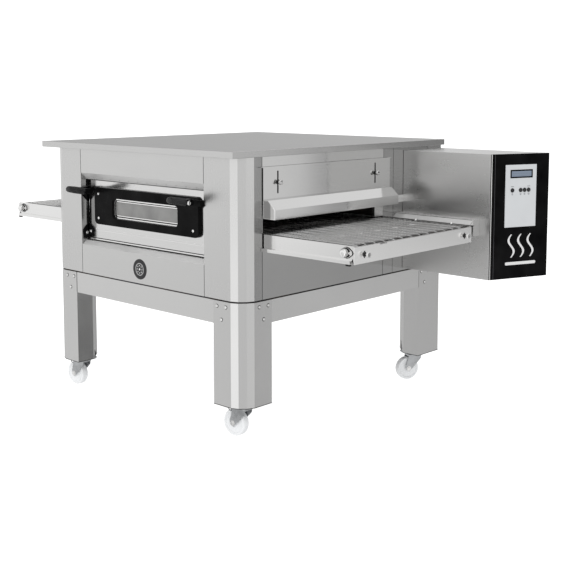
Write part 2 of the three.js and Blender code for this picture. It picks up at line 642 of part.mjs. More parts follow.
function door() {
  const x0 = RECESS_LEFT + DOOR_MARGIN;
  const x1 = RECESS_RIGHT - DOOR_MARGIN;
  const back = DOOR_FACE + DOOR_DEPTH;
  const half = WINDOW.width / 2;
  const windowOutline = (grow) => roundedRect(DOOR_CENTRE - half - grow, DOOR_CENTRE + half + grow,
    WINDOW.bottom - grow, WINDOW.top + grow, WINDOW.radius + grow);
  const tray = box(x0, x1, DOOR_FACE, back, DOOR_BOTTOM, DOOR_TOP);
  const hollow = box(x0 + THIN, x1 - THIN, DOOR_FACE + THIN, back + 5, DOOR_BOTTOM + THIN,
    DOOR_TOP - THIN);
  const port = prismY(windowOutline(4), DOOR_FACE - 5, back);
  part('door_panel', cut(tray, hollow, port), polishedSteel());

  const frameHalf = WINDOW_FRAME.width / 2;
  const outline = roundedRect(DOOR_CENTRE - frameHalf, DOOR_CENTRE + frameHalf,
    WINDOW_FRAME.bottom, WINDOW_FRAME.top, WINDOW_FRAME.radius);
  part('door_window_frame', prismY(outline, DOOR_FACE - GAP - WINDOW_FRAME.thickness,
    DOOR_FACE - GAP, [windowOutline(0)]), blackPaint());

  const glassFront = DOOR_FACE + THIN + GAP;
  part('door_glass', box(DOOR_CENTRE - half - 14, DOOR_CENTRE + half + 14, glassFront,
    glassFront + 4, WINDOW.bottom - 14, WINDOW.top + 14), windowGlass());

  part('door_handle_left', doorHandle(RECESS_LEFT, 1), blackPaint());
  part('door_handle_right', doorHandle(RECESS_RIGHT, -1), blackPaint());
}

// Arm along the recess side with its pivot plate and gusset, tabs folded onto the door, and a
// plate in front that carries a tapered grip; into = +1 or -1 along X.
function doorHandle(recess, into) {
  const outer = recess + into * ARM.gap;
  const inner = outer + into * ARM.thickness;
  const sheet = [Math.min(outer, inner), Math.max(outer, inner)];
  const back = DOOR_FACE - GAP;
  const arm = box(...sheet, ARM.near, back, HINGE_Z, DOOR_TOP);
  const pivotPlate = prismX([[HINGE_Y - 13, HINGE_Z - 23], [HINGE_Y + 6, HINGE_Z - 23],
    [back, HINGE_Z - 12], [back, HINGE_Z + 40], [HINGE_Y + 9, HINGE_Z + 38],
    [HINGE_Y - 16, HINGE_Z + 12]], ...sheet);
  const gusset = prismX([[GRIP_PLATE.near, GRIP_PLATE.bottom], [0, GRIP_PLATE.bottom - 4],
    [31, 812], [back, 812], [back, GRIP_PLATE.top], [GRIP_PLATE.near, GRIP_PLATE.top]], ...sheet);
  const tip = outer + into * TAB_WIDTH;
  const upperTab = prismY([[outer, 812], [tip, 868], [tip, GRIP_PLATE.top],
    [outer, GRIP_PLATE.top]], back - ARM.thickness, back);
  const lowerTab = prismY([[outer, HINGE_Z - 15], [tip - into * 8, HINGE_Z - 7],
    [tip, HINGE_Z + 17], [outer, HINGE_Z + 39]], back - ARM.thickness, back);
  const middle = recess + into * GRIP.inward;
  const plate = box(Math.min(outer, middle + into * GRIP.radius),
    Math.max(outer, middle + into * GRIP.radius), GRIP_PLATE.near,
    GRIP_PLATE.near + GRIP_PLATE.thickness, GRIP_PLATE.bottom, GRIP_PLATE.top);
  const block = box(middle - GRIP.radius, middle + GRIP.radius, GRIP_PLATE.near - GRIP_BLOCK,
    GRIP_PLATE.near + 1, GRIP.z - 12, GRIP.z + 12);
  const profile = [[0, 0], [12, 0], [GRIP.radius, 8], [GRIP.radius - 0.5, 52],
    [11.5, GRIP.length - 8], [8, GRIP.length], [0, GRIP.length]];
  const grip = new THREE.LatheGeometry(profile.map(vec2), 16).rotateX(Math.PI)
    .rotateX(THREE.MathUtils.degToRad(-GRIP.tilt))
    .translate(middle, GRIP_PLATE.near - GRIP_BLOCK + 3, GRIP.z);
  return join(arm, pivotPlate, gusset, upperTab, lowerTab, plate, block, grip);
}

// ---------------------------------------------------------------- control box

function controlBox() {
  const outer = [[1, BOX_NEAR], [BOX_NEAR_LENGTH, BOX_NEAR], [BOX_FAR_LENGTH, BOX_FAR],
    [1, BOX_FAR]];
  const slope = (BOX_FAR_LENGTH - BOX_NEAR_LENGTH) / (BOX_FAR - BOX_NEAR);
  const panelDepth = PANEL_THICKNESS * Math.hypot(1, slope);
  const shift = panelDepth + GAP;
  const planOutline = [outer[0], [outer[1][0] - shift, outer[1][1]],
    [outer[2][0] - shift, outer[2][1]], outer[3]];
  const solid = prismZ(planOutline, BOX_BOTTOM, BOX_TOP);
  const hollow = prismZ([[1 + THIN, BOX_NEAR + THIN], [600, BOX_NEAR + THIN],
    [600, BOX_FAR - THIN], [1 + THIN, BOX_FAR - THIN]], BOX_BOTTOM + THIN, BOX_TOP - THIN);
  const shaftHole = rodY(MOTOR.shaftHole, BOX_NEAR - 20, BOX_NEAR + 20, MOTOR_X, SHAFT_Z, 16);
  part('control_box_shell', cut(solid, hollow, shaftHole), brushedSteel());
  part('control_panel', prismZ([[outer[1][0] - panelDepth, BOX_NEAR], outer[1], outer[2],
    [outer[2][0] - panelDepth, BOX_FAR]], BOX_BOTTOM, BOX_TOP), blackGloss());

  const motor = join(
    box(MOTOR_X - GEARBOX.half, MOTOR_X + GEARBOX.half, GEARBOX.near, GEARBOX.far,
      SHAFT_Z - GEARBOX.half, SHAFT_Z + GEARBOX.half),
    rodY(MOTOR.radius, GEARBOX.far - 7, MOTOR.end, MOTOR_X, SHAFT_Z, 20),
    rodY(MOTOR.shaft, GUARD_NEAR + 12, GEARBOX.near + 8, MOTOR_X, SHAFT_Z, 12));
  part('gear_motor', motor, castMetal());

  const face = new THREE.Group();
  face.position.set(BOX_NEAR_LENGTH, BOX_NEAR, 0);
  face.rotation.z = Math.atan2(BOX_FAR - BOX_NEAR, BOX_FAR_LENGTH - BOX_NEAR_LENGTH);
  oven.add(face);
  const corners = [[KEYPAD.left, KEYPAD.bottom], [KEYPAD.right, KEYPAD.bottom],
    [KEYPAD.right, KEYPAD.top], [KEYPAD.left, KEYPAD.top]];
  const holes = BUTTON_PLACES.map((x) => circle(x, BUTTON_Z, BUTTON_RADIUS + 0.6, 16));
  part('keypad_plate', prismY(corners, -KEYPAD.thickness - GAP, -GAP, holes), greyKeypad(), face);
  BUTTON_PLACES.forEach((x, i) => {
    part(`button_${i + 1}`, rodY(BUTTON_RADIUS, -5.4, -1.9, x, BUTTON_Z, 16), blackPaint(), face);
  });
}

// ---------------------------------------------------------------- the whole oven

stand();
casters();
casing();
chamber();
conveyor();
part('exit_baffle', baffle(0, 1), brushedSteel());
part('entrance_baffle', baffle(-BODY_LENGTH, -1), brushedSteel());
door();
controlBox();

const extent = new THREE.Box3().setFromObject(oven);
oven.position.set(-(extent.min.x + extent.max.x) / 2, -(extent.min.y + extent.max.y) / 2, 0);

const assembly = new THREE.Group();
assembly.add(oven);

export default assembly;
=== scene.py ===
import math

import bmesh
import bpy
from mathutils import Matrix, Vector
from mathutils.geometry import convex_hull_2d


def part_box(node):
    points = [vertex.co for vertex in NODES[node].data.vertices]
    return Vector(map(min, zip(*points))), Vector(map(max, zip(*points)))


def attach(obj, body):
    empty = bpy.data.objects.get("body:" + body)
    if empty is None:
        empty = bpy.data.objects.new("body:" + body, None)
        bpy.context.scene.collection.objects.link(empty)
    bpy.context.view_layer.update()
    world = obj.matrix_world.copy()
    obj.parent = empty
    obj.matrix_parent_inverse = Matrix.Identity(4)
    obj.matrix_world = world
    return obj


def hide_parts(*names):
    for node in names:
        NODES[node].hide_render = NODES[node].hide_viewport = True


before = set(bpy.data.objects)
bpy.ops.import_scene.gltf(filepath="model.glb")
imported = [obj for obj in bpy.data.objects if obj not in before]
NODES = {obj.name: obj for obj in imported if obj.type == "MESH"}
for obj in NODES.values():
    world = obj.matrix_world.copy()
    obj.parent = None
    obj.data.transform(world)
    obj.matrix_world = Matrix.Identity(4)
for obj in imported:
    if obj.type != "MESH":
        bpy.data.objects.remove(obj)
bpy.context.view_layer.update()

MM = 0.001
EXIT_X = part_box("corner_post_front_exit")[1].x
FRONT_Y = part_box("corner_post_front_exit")[0].y


def at(x, y, z):
    """Point in the frame from millimetres off the drawing datum."""
    return Vector((EXIT_X + x * MM, FRONT_Y + y * MM, z * MM))


def from_datum(point):
    """Millimetres off the drawing datum from a point in the frame."""
    return Vector(((point.x - EXIT_X) / MM, (point.y - FRONT_Y) / MM, point.z / MM))


def low(node):
    """Lowest corner of a node in datum millimetres."""
    return from_datum(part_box(node)[0])


def high(node):
    """Highest corner of a node in datum millimetres."""
    return from_datum(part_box(node)[1])


# ------------------------------------------------------------------ dimensions, millimetres

BODY_FAR_X = low("corner_post_front_entrance").x
BODY_BACK = high("corner_post_rear_exit").y
BODY_BOTTOM = low("front_lower_panel").z
COVER_BOTTOM = low("top_cover").z
STAND_TOP = high("rail_front").z
RAIL_BOTTOM = low("rail_front").z
LEG_BOTTOM = low("leg_front_exit").z
LEG = high("leg_front_exit").x - low("leg_front_exit").x
RECESS_LEFT = low("front_upper_panel").x
RECESS_RIGHT = high("front_upper_panel").x
FRAME_NEAR = 106
FRAME_FAR = 805
SHAFT_Z = 732
SHAFTS = (387, -1534)
BODY_CENTRE = BODY_FAR_X / 2
ENDS = ((0, 1), (BODY_FAR_X, -1))      # end faces of the body and which way they face

CORNERS = {
    "front_exit": (0, 0, -1, 1),
    "front_entrance": (BODY_FAR_X, 0, 1, 1),
    "rear_exit": (0, BODY_BACK, -1, -1),
    "rear_entrance": (BODY_FAR_X, BODY_BACK, 1, -1),
}
CASTER_HEADINGS = {"front_exit": 5, "front_entrance": 5, "rear_exit": 62, "rear_entrance": -37}
BRAKED = ("front_exit", "front_entrance")
CASTER_INSET = LEG / 2
CASTER_TRAIL = 33


# ------------------------------------------------------------------ material helpers

def new_material(name):
    """Material with an empty node tree, and the tree."""
    material = bpy.data.materials.new(name)
    material.use_nodes = True
    tree = material.node_tree
    tree.nodes.clear()
    return material, tree


def add_node(tree, kind, **values):
    node = tree.nodes.new(kind)
    for key, value in values.items():
        setattr(node, key, value)
    return node


def link(tree, source, target):
    tree.links.new(source, target)


def mapped(tree, scale):
    """Object coordinates, scaled: on every piece they are the frame's metres."""
    coords = add_node(tree, "ShaderNodeTexCoord")
    mapping = add_node(tree, "ShaderNodeMapping")
    mapping.inputs["Scale"].default_value = scale
    link(tree, coords.outputs["Object"], mapping.inputs["Vector"])
    return mapping.outputs["Vector"]


def noise(tree, scale, detail):
    """Noise stretched by a scale along each axis, or by one number along all three."""
    if not isinstance(scale, tuple):
        scale = (scale, scale, scale)
    node = add_node(tree, "ShaderNodeTexNoise")
    node.inputs["Scale"].default_value = 1.0
    node.inputs["Detail"].default_value = detail
    node.inputs["Roughness"].default_value = 0.55
    link(tree, mapped(tree, scale), node.inputs["Vector"])
    return node.outputs["Fac"]


def ranged(tree, value, out_low, out_high, in_low=0.3, in_high=0.7):
    node = add_node(tree, "ShaderNodeMapRange")
    for name, limit in (("From Min", in_low), ("From Max", in_high),
                        ("To Min", out_low), ("To Max", out_high)):
        node.inputs[name].default_value = limit
    link(tree, value, node.inputs["Value"])
    return node.outputs["Result"]


def maths(tree, operation, first, second):
    node = add_node(tree, "ShaderNodeMath", operation=operation)
    for socket, value in zip(node.inputs, (first, second)):
        if isinstance(value, (int, float)):
            socket.default_value = value
        else:
            link(tree, value, socket)
    return node.outputs["Value"]


def mixed(tree, factor, first, second):
    node = add_node(tree, "ShaderNodeMix", data_type="RGBA")
    link(tree, factor, node.inputs["Factor"])
    for name, colour in (("A", first), ("B", second)):
        socket = [s for s in node.inputs if s.name == name and s.type == "RGBA"][0]
        if isinstance(colour, tuple):
            socket.default_value = (*colour, 1)
        else:
            link(tree, colour, socket)
    return [s for s in node.outputs if s.type == "RGBA"][0]


def blend(tree, value, share, first, second):
    """From the first colour to the second as a noise rises, up to a share of the second."""
    return mixed(tree, ranged(tree, value, 0, share), first, second)


def bumped(tree, height, strength, distance):
    node = add_node(tree, "ShaderNodeBump")
    node.inputs["Strength"].default_value = strength
    node.inputs["Distance"].default_value = distance
    link(tree, height, node.inputs["Height"])
    return node.outputs["Normal"]


def shader(tree, **values):
    """Principled shader: keys are socket names with _ for space, values numbers or sockets."""
    node = add_node(tree, "ShaderNodeBsdfPrincipled")
    output = add_node(tree, "ShaderNodeOutputMaterial")
    link(tree, node.outputs["BSDF"], output.inputs["Surface"])
    for key, value in values.items():
        socket = node.inputs[key.replace("_", " ")]
        if isinstance(value, bpy.types.NodeSocket):
            link(tree, value, socket)
        elif isinstance(value, tuple):
            socket.default_value = (*value, 1)
        else:
            socket.default_value = value


def grey(value, tint=(1.0, 1.0, 1.0)):
    return tuple(value * channel for channel in tint)


# Stretch of the brushing: long along the rolling direction, fine across it.
BRUSH_ALONG_Z = (700, 700, 3)
BRUSH_ALONG_X = (3, 700, 700)
BRUSH_ALONG_Y = (700, 3, 700)


def facing(tree, axis, start, end):
    """0 to 1 as the surface turns to face either way along an axis."""
    geometry = add_node(tree, "ShaderNodeNewGeometry")
    axes = add_node(tree, "ShaderNodeSeparateXYZ")
    link(tree, geometry.outputs["Normal"], axes.inputs["Vector"])
    return ranged(tree, maths(tree, "ABSOLUTE", axes.outputs[axis], 0.0), 0, 1, start, end)


def brushed_metal(name, tone, rough, brush, streak=0.010, bump=0.012, smudge=0.03,
                  tint=(1.0, 0.997, 0.99), painted_top_tone=None, top_rough=None, painted_end_tone=None, satin=0.0):
    """Rolled sheet: fine directional streaks over slow smudges of sheen. The top and the faces
    along X may take a tone of their own, painted light and shade by facing, and satin dulls the
    level faces."""
    material, tree = new_material(name)
    streaks = noise(tree, brush, detail=3.0)
    cloud = noise(tree, 5, detail=4.0)
    spots = noise(tree, 38, detail=3.0)
    colour = blend(tree, streaks, 1, grey(tone - streak, tint), grey(tone + streak, tint))
    colour = blend(tree, cloud, 0.35, colour, grey(tone - 2 * streak, tint))
    # Painted shade by facing: the faces along X take a tone of their own.
    if painted_end_tone is not None:
        colour = mixed(tree, facing(tree, "X", 0.96, 0.985), colour, grey(painted_end_tone, tint))
    roughness = maths(tree, "ADD", ranged(tree, cloud, rough - smudge / 2, rough + smudge / 2),
                      ranged(tree, spots, -smudge / 4, smudge / 4))
    roughness = maths(tree, "ADD", roughness, ranged(tree, streaks, -0.012, 0.012))
    # Painted shade by facing: the top faces take a tone of their own.
    if painted_top_tone is not None:
        up = facing(tree, "Z", 0.6, 0.9)
        top = blend(tree, cloud, 1, grey(painted_top_tone - 0.012, tint), grey(painted_top_tone + 0.012, tint))
        colour = mixed(tree, up, colour, top)
        roughness = maths(tree, "ADD", roughness, maths(tree, "MULTIPLY", up, top_rough - rough))
    normal = bumped(tree, streaks, bump, 0.0004)
    metal = 1.0
    if satin:
        metal = maths(tree, "SUBTRACT", 1.0, maths(tree, "MULTIPLY", facing(tree, "Z", 0.4, 0.7),
                                                   satin))
    shader(tree, Base_Color=colour, Metallic=metal, Roughness=roughness, Normal=normal)
    return material


def coated(name, colour, rough, specular=0.5, speckle=0.15, grain=220, bump=0.05):
    """Paint, moulding or print: fine grain, slight tone variation and handling marks."""
    material, tree = new_material(name)
    fine = noise(tree, grain, detail=3.0)
    slow = noise(tree, 9, detail=4.0)
    lighter = tuple(min(1, c * (1 + speckle) + 0.004) for c in colour)
    darker = tuple(c * (1 - speckle) for c in colour)
    shade = blend(tree, slow, 1, darker, lighter)
    roughness = maths(tree, "ADD", ranged(tree, slow, rough - 0.04, rough + 0.05),
                      ranged(tree, fine, -0.02, 0.02))
    shader(tree, Base_Color=shade, Roughness=roughness, Specular_IOR_Level=specular,
           Normal=bumped(tree, fine, bump, 0.0003))
    return material


def cast_metal(name, tone, rough, tint=(1, 1, 1)):
    material, tree = new_material(name)
    grain = noise(tree, 420, detail=4.0)
    slow = noise(tree, 26, detail=3.0)
    colour = blend(tree, slow, 1, grey(tone * 0.8, tint), grey(tone * 1.15, tint))
    shader(tree, Base_Color=colour, Metallic=1.0,
           Roughness=ranged(tree, slow, rough - 0.08, rough + 0.08),
           Normal=bumped(tree, grain, 0.15, 0.0004))
    return material


def heat_stained(name, tone, rough):
    """Steel that has been hot: brown and blue clouds over the grey."""
    material, tree = new_material(name)
    slow = noise(tree, 7, detail=5.0)
    fine = noise(tree, 90, detail=3.0)
    warm = blend(tree, slow, 1, grey(tone, (1.25, 1.0, 0.8)), grey(tone * 0.7, (0.85, 0.9, 1.1)))
    colour = blend(tree, fine, 0.5, warm, grey(tone * 0.5))
    shader(tree, Base_Color=colour, Metallic=1.0,
           Roughness=ranged(tree, fine, rough - 0.06, rough + 0.1),
           Normal=bumped(tree, fine, 0.1, 0.0005))
    return material


def window_glass(name):
    material, tree = new_material(name)
    slow = noise(tree, 14, detail=4.0)
    shader(tree, Base_Color=blend(tree, slow, 1, (0.165, 0.165, 0.162), (0.225, 0.225, 0.22)),
           Metallic=0.0, Roughness=ranged(tree, slow, 0.12, 0.22),
           Transmission_Weight=0.12, IOR=1.5)
    return material


STEEL_Z = brushed_metal("steel_brushed_upright", 0.62, 0.24, BRUSH_ALONG_Z)
STEEL_X = brushed_metal("steel_brushed_lengthwise", 0.63, 0.24, BRUSH_ALONG_X, satin=0.6)
STEEL_Y = brushed_metal("steel_brushed_crosswise", 0.62, 0.09, BRUSH_ALONG_Y)
# Corner posts: the darker tone on their faces along X is painted shade.
STEEL_POST = brushed_metal("steel_corner_post", 0.63, 0.26, BRUSH_ALONG_Z, painted_end_tone=0.41)
STEEL_LEG = brushed_metal("steel_leg", 0.62, 0.20, BRUSH_ALONG_Z)
STEEL_RAIL = brushed_metal("steel_rail", 0.66, 0.20, BRUSH_ALONG_X)
# Shaded copy of the brushed steel: its low tone is painted shade on the lower end and side panels.
STEEL_LOWER_SHADED = brushed_metal("steel_lower_panel_shaded", 0.40, 0.13, BRUSH_ALONG_Y)
STEEL_BOX = brushed_metal("steel_control_box", 0.68, 0.29, BRUSH_ALONG_X)
POLISHED = brushed_metal("steel_polished", 0.73, 0.16, BRUSH_ALONG_X, bump=0.006)
# Lighter copies of the polished steel for the conveyor side plates, end bars and tie bar: their
# raised tone is painted light.
PLATE = brushed_metal("steel_side_plate_lit", 0.84, 0.16, BRUSH_ALONG_X, bump=0.006)
POLISHED_Y = brushed_metal("steel_polished_crosswise_lit", 0.97, 0.20, BRUSH_ALONG_Y, bump=0.006)
# Cover: its darker top and darker faces along X are painted shade.
COVER = brushed_metal("steel_cover", 0.60, 0.17, BRUSH_ALONG_X, painted_top_tone=0.46, top_rough=0.40,
                      painted_end_tone=0.52)
BRIGHT = brushed_metal("steel_bright", 0.86, 0.12, BRUSH_ALONG_X, bump=0.004)
WIRE = brushed_metal("wire_drawn", 0.66, 0.26, (300, 300, 300), streak=0.05, smudge=0.12)
ZINC = cast_metal("zinc_plate", 0.50, 0.30, (0.98, 1.0, 1.02))
# Near-black steel used only for painted shade: rings under screws and bolts, collars under knobs,
# bands at the leg feet.
STEEL_PAINTED_SHADE = brushed_metal("steel_shadowed", 0.09, 0.35, BRUSH_ALONG_X)
ALUMINIUM = cast_metal("aluminium_cast", 0.5, 0.5)
# Heat stain, and its low tone is also painted shade in the tunnel, under the belt and in the base
# pan.
HEAT_STAIN_AND_SHADE = heat_stained("steel_heat_stain_and_shade", 0.14, 0.45)
NYLON = coated("nylon_white", (0.68, 0.69, 0.70), 0.42, specular=0.35, speckle=0.03, grain=300)
ENAMEL = coated("enamel_black", (0.0020, 0.0020, 0.0021), 0.24, specular=0.04, speckle=0.3)
GRIP = coated("grip_black", (0.012, 0.012, 0.0125), 0.28, specular=0.4, speckle=0.3)
GLOSS = coated("panel_black_gloss", (0.0020, 0.0020, 0.0022), 0.14, specular=0.02, speckle=0.25,
               bump=0.01)
KEYPAD = coated("keypad_grey", (0.47, 0.482, 0.494), 0.45, specular=0.3, speckle=0.025, grain=600)
RUBBER = coated("button_black", (0.010, 0.010, 0.011), 0.38, specular=0.3, speckle=0.2)
# Near-black for real seams, gaps and gaskets, and for painted shade in holes, slots, gaps and round
# the flange bearings.
SEAM_DARK_AND_SHADE = coated("seam_dark_and_painted_shade", grey(0.010), 0.6, specular=0.1, speckle=0.3)
BADGE = coated("badge_dark", (0.018, 0.018, 0.019), 0.4, specular=0.2, speckle=0.2)
INK = coated("ink_white", grey(0.56), 0.5, specular=0.3, speckle=0.04, grain=800)
# Grey print, also used for the painted highlight on the control panel's bend.
GREY_INK_AND_HIGHLIGHT = coated("ink_grey_and_highlight", (0.06, 0.06, 0.066), 0.5, specular=0.3, speckle=0.06, grain=800)
SCREEN = coated("lcd_screen", (0.155, 0.19, 0.245), 0.3, specular=0.3, speckle=0.08)
WINDOW = window_glass("glass_window")


# ------------------------------------------------------------------ mesh helpers

def transform(verts, matrix):
    for vert in verts:
        vert.co = matrix @ vert.co


def add_box(mesh, first, second):
    a = Vector(map(min, first, second))
    b = Vector(map(max, first, second))
    transform(bmesh.ops.create_cube(mesh, size=1)["verts"],
              Matrix.Translation((a + b) / 2) @ Matrix.Diagonal((*(b - a), 1)))


def circle(cx, cy, radius, segments, turn=0.0):
    return [(cx + radius * math.cos(turn + 2 * math.pi * i / segments),
             cy + radius * math.sin(turn + 2 * math.pi * i / segments)) for i in range(segments)]


def frame_of(axis):
    """Rotation that turns +Z to the axis."""
    return Vector((0, 0, 1)).rotation_difference(Vector(axis)).to_matrix().to_4x4()


def add_lathe(mesh, profile, origin, axis, segments, turn=0.0):
    """Closed solid of revolution: profile of (radius, distance along the axis) points."""
    place = Matrix.Translation(Vector(origin)) @ frame_of(axis)
    rings = []
    for radius, along in profile:
        points = circle(0, 0, radius, segments, turn) if radius else [(0, 0)]
        rings.append([mesh.verts.new(place @ Vector((u, v, along))) for u, v in points])
    for one, two in zip(rings, rings[1:]):
        for i in range(segments):
            j = (i + 1) % segments
            if len(one) == 1 and len(two) > 1:
                mesh.faces.new((one[0], two[i], two[j])[::-1])
            elif len(two) == 1 and len(one) > 1:
                mesh.faces.new((one[i], one[j], two[0]))
            elif len(one) > 1:
                mesh.faces.new((one[i], one[j], two[j], two[i]))


def disc(radius, base, top):
    """Profile of a plain disc for add_lathe."""
    return [(0, base), (radius, base), (radius, top), (0, top)]


def add_prism(mesh, outline, low_end, high_end, place=Matrix.Identity(4)):
    """Outline of (u, v) points, extruded along local Z; place turns it into position."""
    count = len(outline)
    ends = [[mesh.verts.new(place @ Vector((u, v, w))) for u, v in outline]
            for w in (low_end, high_end)]
    mesh.faces.new(ends[0][::-1])
    mesh.faces.new(ends[1])
    for i in range(count):
        j = (i + 1) % count
        mesh.faces.new((ends[0][i], ends[0][j], ends[1][j], ends[1][i]))


def add_ring(mesh, outer, inner, low_end, high_end, place=Matrix.Identity(4)):
    """Flat ring between two outlines with the same number of points."""
    loops = [[mesh.verts.new(place @ Vector((u, v, w))) for u, v in outline]
             for outline in (outer, inner) for w in (low_end, high_end)]
    outer_low, outer_high, inner_low, inner_high = loops
    for i in range(len(outer)):
        j = (i + 1) % len(outer)
        mesh.faces.new((outer_low[i], outer_low[j], outer_high[j], outer_high[i]))
        mesh.faces.new((inner_low[j], inner_low[i], inner_high[i], inner_high[j]))
        mesh.faces.new((outer_high[i], outer_high[j], inner_high[j], inner_high[i]))
        mesh.faces.new((outer_low[j], outer_low[i], inner_low[i], inner_low[j]))


def stitch(mesh, rings):
    """Faces between each ring of vertices and the next."""
    for one, two in zip(rings, rings[1:]):
        for i in range(len(one)):
            j = (i + 1) % len(one)
            mesh.faces.new((one[i], one[j], two[j], two[i]))


def close_ends(mesh, rings):
    mesh.faces.new(rings[0][::-1])
    mesh.faces.new(rings[-1])


def add_tube(mesh, points, radius, sides=5):
    """Round bar along a line of points, with flat ends."""
    points = [Vector(p) for p in points]
    rings = []
    normal = None
    for i, point in enumerate(points):
        along = (points[min(i + 1, len(points) - 1)] - points[max(i - 1, 0)]).normalized()
        if normal is None:
            normal = along.orthogonal().normalized()
        normal = (normal - along * normal.dot(along)).normalized()
        other = along.cross(normal)
        rings.append([mesh.verts.new(point + radius * (
            math.cos(2 * math.pi * k / sides) * normal + math.sin(2 * math.pi * k / sides) * other))
            for k in range(sides)])
    stitch(mesh, rings)
    close_ends(mesh, rings)


def rounded(x0, x1, y0, y1, radius, steps=5):
    points = []
    for quarter, (cx, cy) in enumerate(((x1 - radius, y1 - radius), (x0 + radius, y1 - radius),
                                        (x0 + radius, y0 + radius), (x1 - radius, y0 + radius))):
        for i in range(steps + 1):
            angle = math.pi / 2 * (quarter + i / steps)
            points.append((cx + radius * math.cos(angle), cy + radius * math.sin(angle)))
    return points


def upright_plane(x, y, z, out):
    """Place for an outline in (X, Z) about a point, extruded along Y towards out."""
    return Matrix(((1, 0, 0, x), (0, 0, out, y), (0, 1, 0, z), (0, 0, 0, 1)))


# Planes for outlines: (u, v) becomes (X, Z) or (Y, Z), extruded along Y or X.
XZ_PLANE = upright_plane(0, 0, 0, 1)
YZ_PLANE = Matrix(((0, 0, 1, 0), (1, 0, 0, 0), (0, 1, 0, 0), (0, 0, 0, 1)))

SMOOTH_ANGLE = math.radians(38)


def bevel(piece, width, angle):
    modifier = piece.modifiers.new("edges", "BEVEL")
    modifier.width = width * MM
    modifier.segments = 2
    modifier.limit_method = "ANGLE"
    modifier.angle_limit = angle
    return modifier


def new_object(name, mesh, material):
    data = bpy.data.meshes.new(name)
    mesh.to_mesh(data)
    mesh.free()
    data.materials.append(material)
    made = bpy.data.objects.new(name, data)
    bpy.context.scene.collection.objects.link(made)
    return made


def finish_piece(name, mesh, body, material, edge=0.0, smooth=True):
    """Turns a bmesh in datum millimetres into a piece that rides on a body."""
    transform(mesh.verts, Matrix.Translation(at(0, 0, 0)) @ Matrix.Scale(MM, 4))
    bmesh.ops.recalc_face_normals(mesh, faces=mesh.faces[:])
    piece = new_object(name, mesh, material)
    if smooth:
        piece.data.shade_smooth()
        piece.data.set_sharp_from_angle(angle=SMOOTH_ANGLE)
    if edge:
        bevel(piece, edge, SMOOTH_ANGLE).harden_normals = True
    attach(piece, body)
    return piece


# ------------------------------------------------------------------ the CAD nodes kept

def prepare(node, material, edge=0.5, angle=32):
    """New material, welded corners and small rolled edges on a CAD node that stays visible."""
    piece = NODES[node]
    data = piece.data
    data.materials.clear()
    data.materials.append(material)
    for attribute in ("custom_normal", "sharp_edge", "sharp_face"):
        if attribute in data.attributes:
            data.attributes.remove(data.attributes[attribute])
    data.polygons.foreach_set("use_smooth", [True] * len(data.polygons))
    piece.modifiers.new("weld", "WELD").merge_threshold = 0.005 * MM
    bevel(piece, edge, math.radians(angle))
    flatten = piece.modifiers.new("flatten", "WEIGHTED_NORMAL")
    flatten.weight = 100
    flatten.keep_sharp = True


FACETED = 15
PLACES = tuple(CORNERS)
for place in PLACES:
    prepare(f"leg_{place}", STEEL_LEG, 1.4, FACETED)
    prepare(f"corner_post_{place}", STEEL_POST, 1.2, FACETED)
    prepare(f"caster_fork_{place}", ZINC, 0.6)
for node in ("front_upper_panel", "front_lower_panel", "rear_panel", "rear_cover",
             "drive_guard"):
    prepare(node, STEEL_X, 0.7)
for node in ("rail_front", "rail_rear", "rail_exit", "rail_entrance"):
    prepare(node, STEEL_RAIL, 0.7)
for side in ("exit", "entrance"):
    for node in (f"{side}_upper_panel", f"{side}_baffle"):
        prepare(node, STEEL_Y, 0.7)
    # The lower and side panels take the shaded copy of the steel: painted shade.
    for node in (f"{side}_lower_panel", f"{side}_side_panel"):
        prepare(node, STEEL_LOWER_SHADED, 0.7)
    prepare(f"{side}_end_bar", POLISHED_Y, 0.5)
prepare("top_cover", COVER, 1.0)
prepare("base_pan", HEAT_STAIN_AND_SHADE)
prepare("control_box_shell", STEEL_BOX, 0.8)
prepare("control_panel", GLOSS, 1.2)
prepare("keypad_plate", KEYPAD, 0.4)
prepare("door_panel", POLISHED, 0.8)
prepare("door_window_frame", ENAMEL, 1.6)
prepare("door_glass", WINDOW, 0.5)
for node in ("conveyor_side_front", "conveyor_side_rear"):
    prepare(node, PLATE, 0.4)
for node in ("drive_shaft", "idler_shaft"):
    prepare(node, ALUMINIUM, 0.4)
for node in ("fan_motor", "fan_wheel", "gear_motor"):
    prepare(node, ALUMINIUM, 0.5)
for node in ("chamber_liner", "heating_element_upper", "heating_element_lower"):
    prepare(node, HEAT_STAIN_AND_SHADE, 0.5)


# ------------------------------------------------------------------ fasteners and knobs

def add_screw(mesh, origin, axis, radius, height):
    """Pan head with a socket in the middle."""
    socket = radius * 0.42
    add_lathe(mesh, [(0, height * 0.45), (socket, height * 0.45), (socket, height * 0.98),
                     (radius * 0.6, height), (radius * 0.9, height * 0.72),
                     (radius, height * 0.25), (radius, -0.4), (0, -0.4)][::-1],
              origin, axis, 18)


def add_hex(mesh, origin, axis, radius, height):
    add_lathe(mesh, [(0, -0.3), (radius, -0.3), (radius, height * 0.8),
                     (radius * 0.86, height), (0, height)], origin, axis, 6, math.pi / 6)


def add_fluted(mesh, profile, origin, axis, flutes, depth):
    """Closed turned solid with lengthwise flutes: (radius, distance, share of depth) points."""
    place = Matrix.Translation(Vector(origin)) @ frame_of(axis)
    count = flutes * 4
    rings = []
    for radius, along, share in profile:
        ring = []
        for i in range(count):
            angle = 2 * math.pi * i / count
            reach = radius * (1 - share * depth * (0.5 + 0.5 * math.cos(flutes * angle)))
            ring.append(mesh.verts.new(place @ Vector((
                reach * math.cos(angle), reach * math.sin(angle), along))))
        rings.append(ring)
    stitch(mesh, rings)
    close_ends(mesh, rings)


# ------------------------------------------------------------------ stand

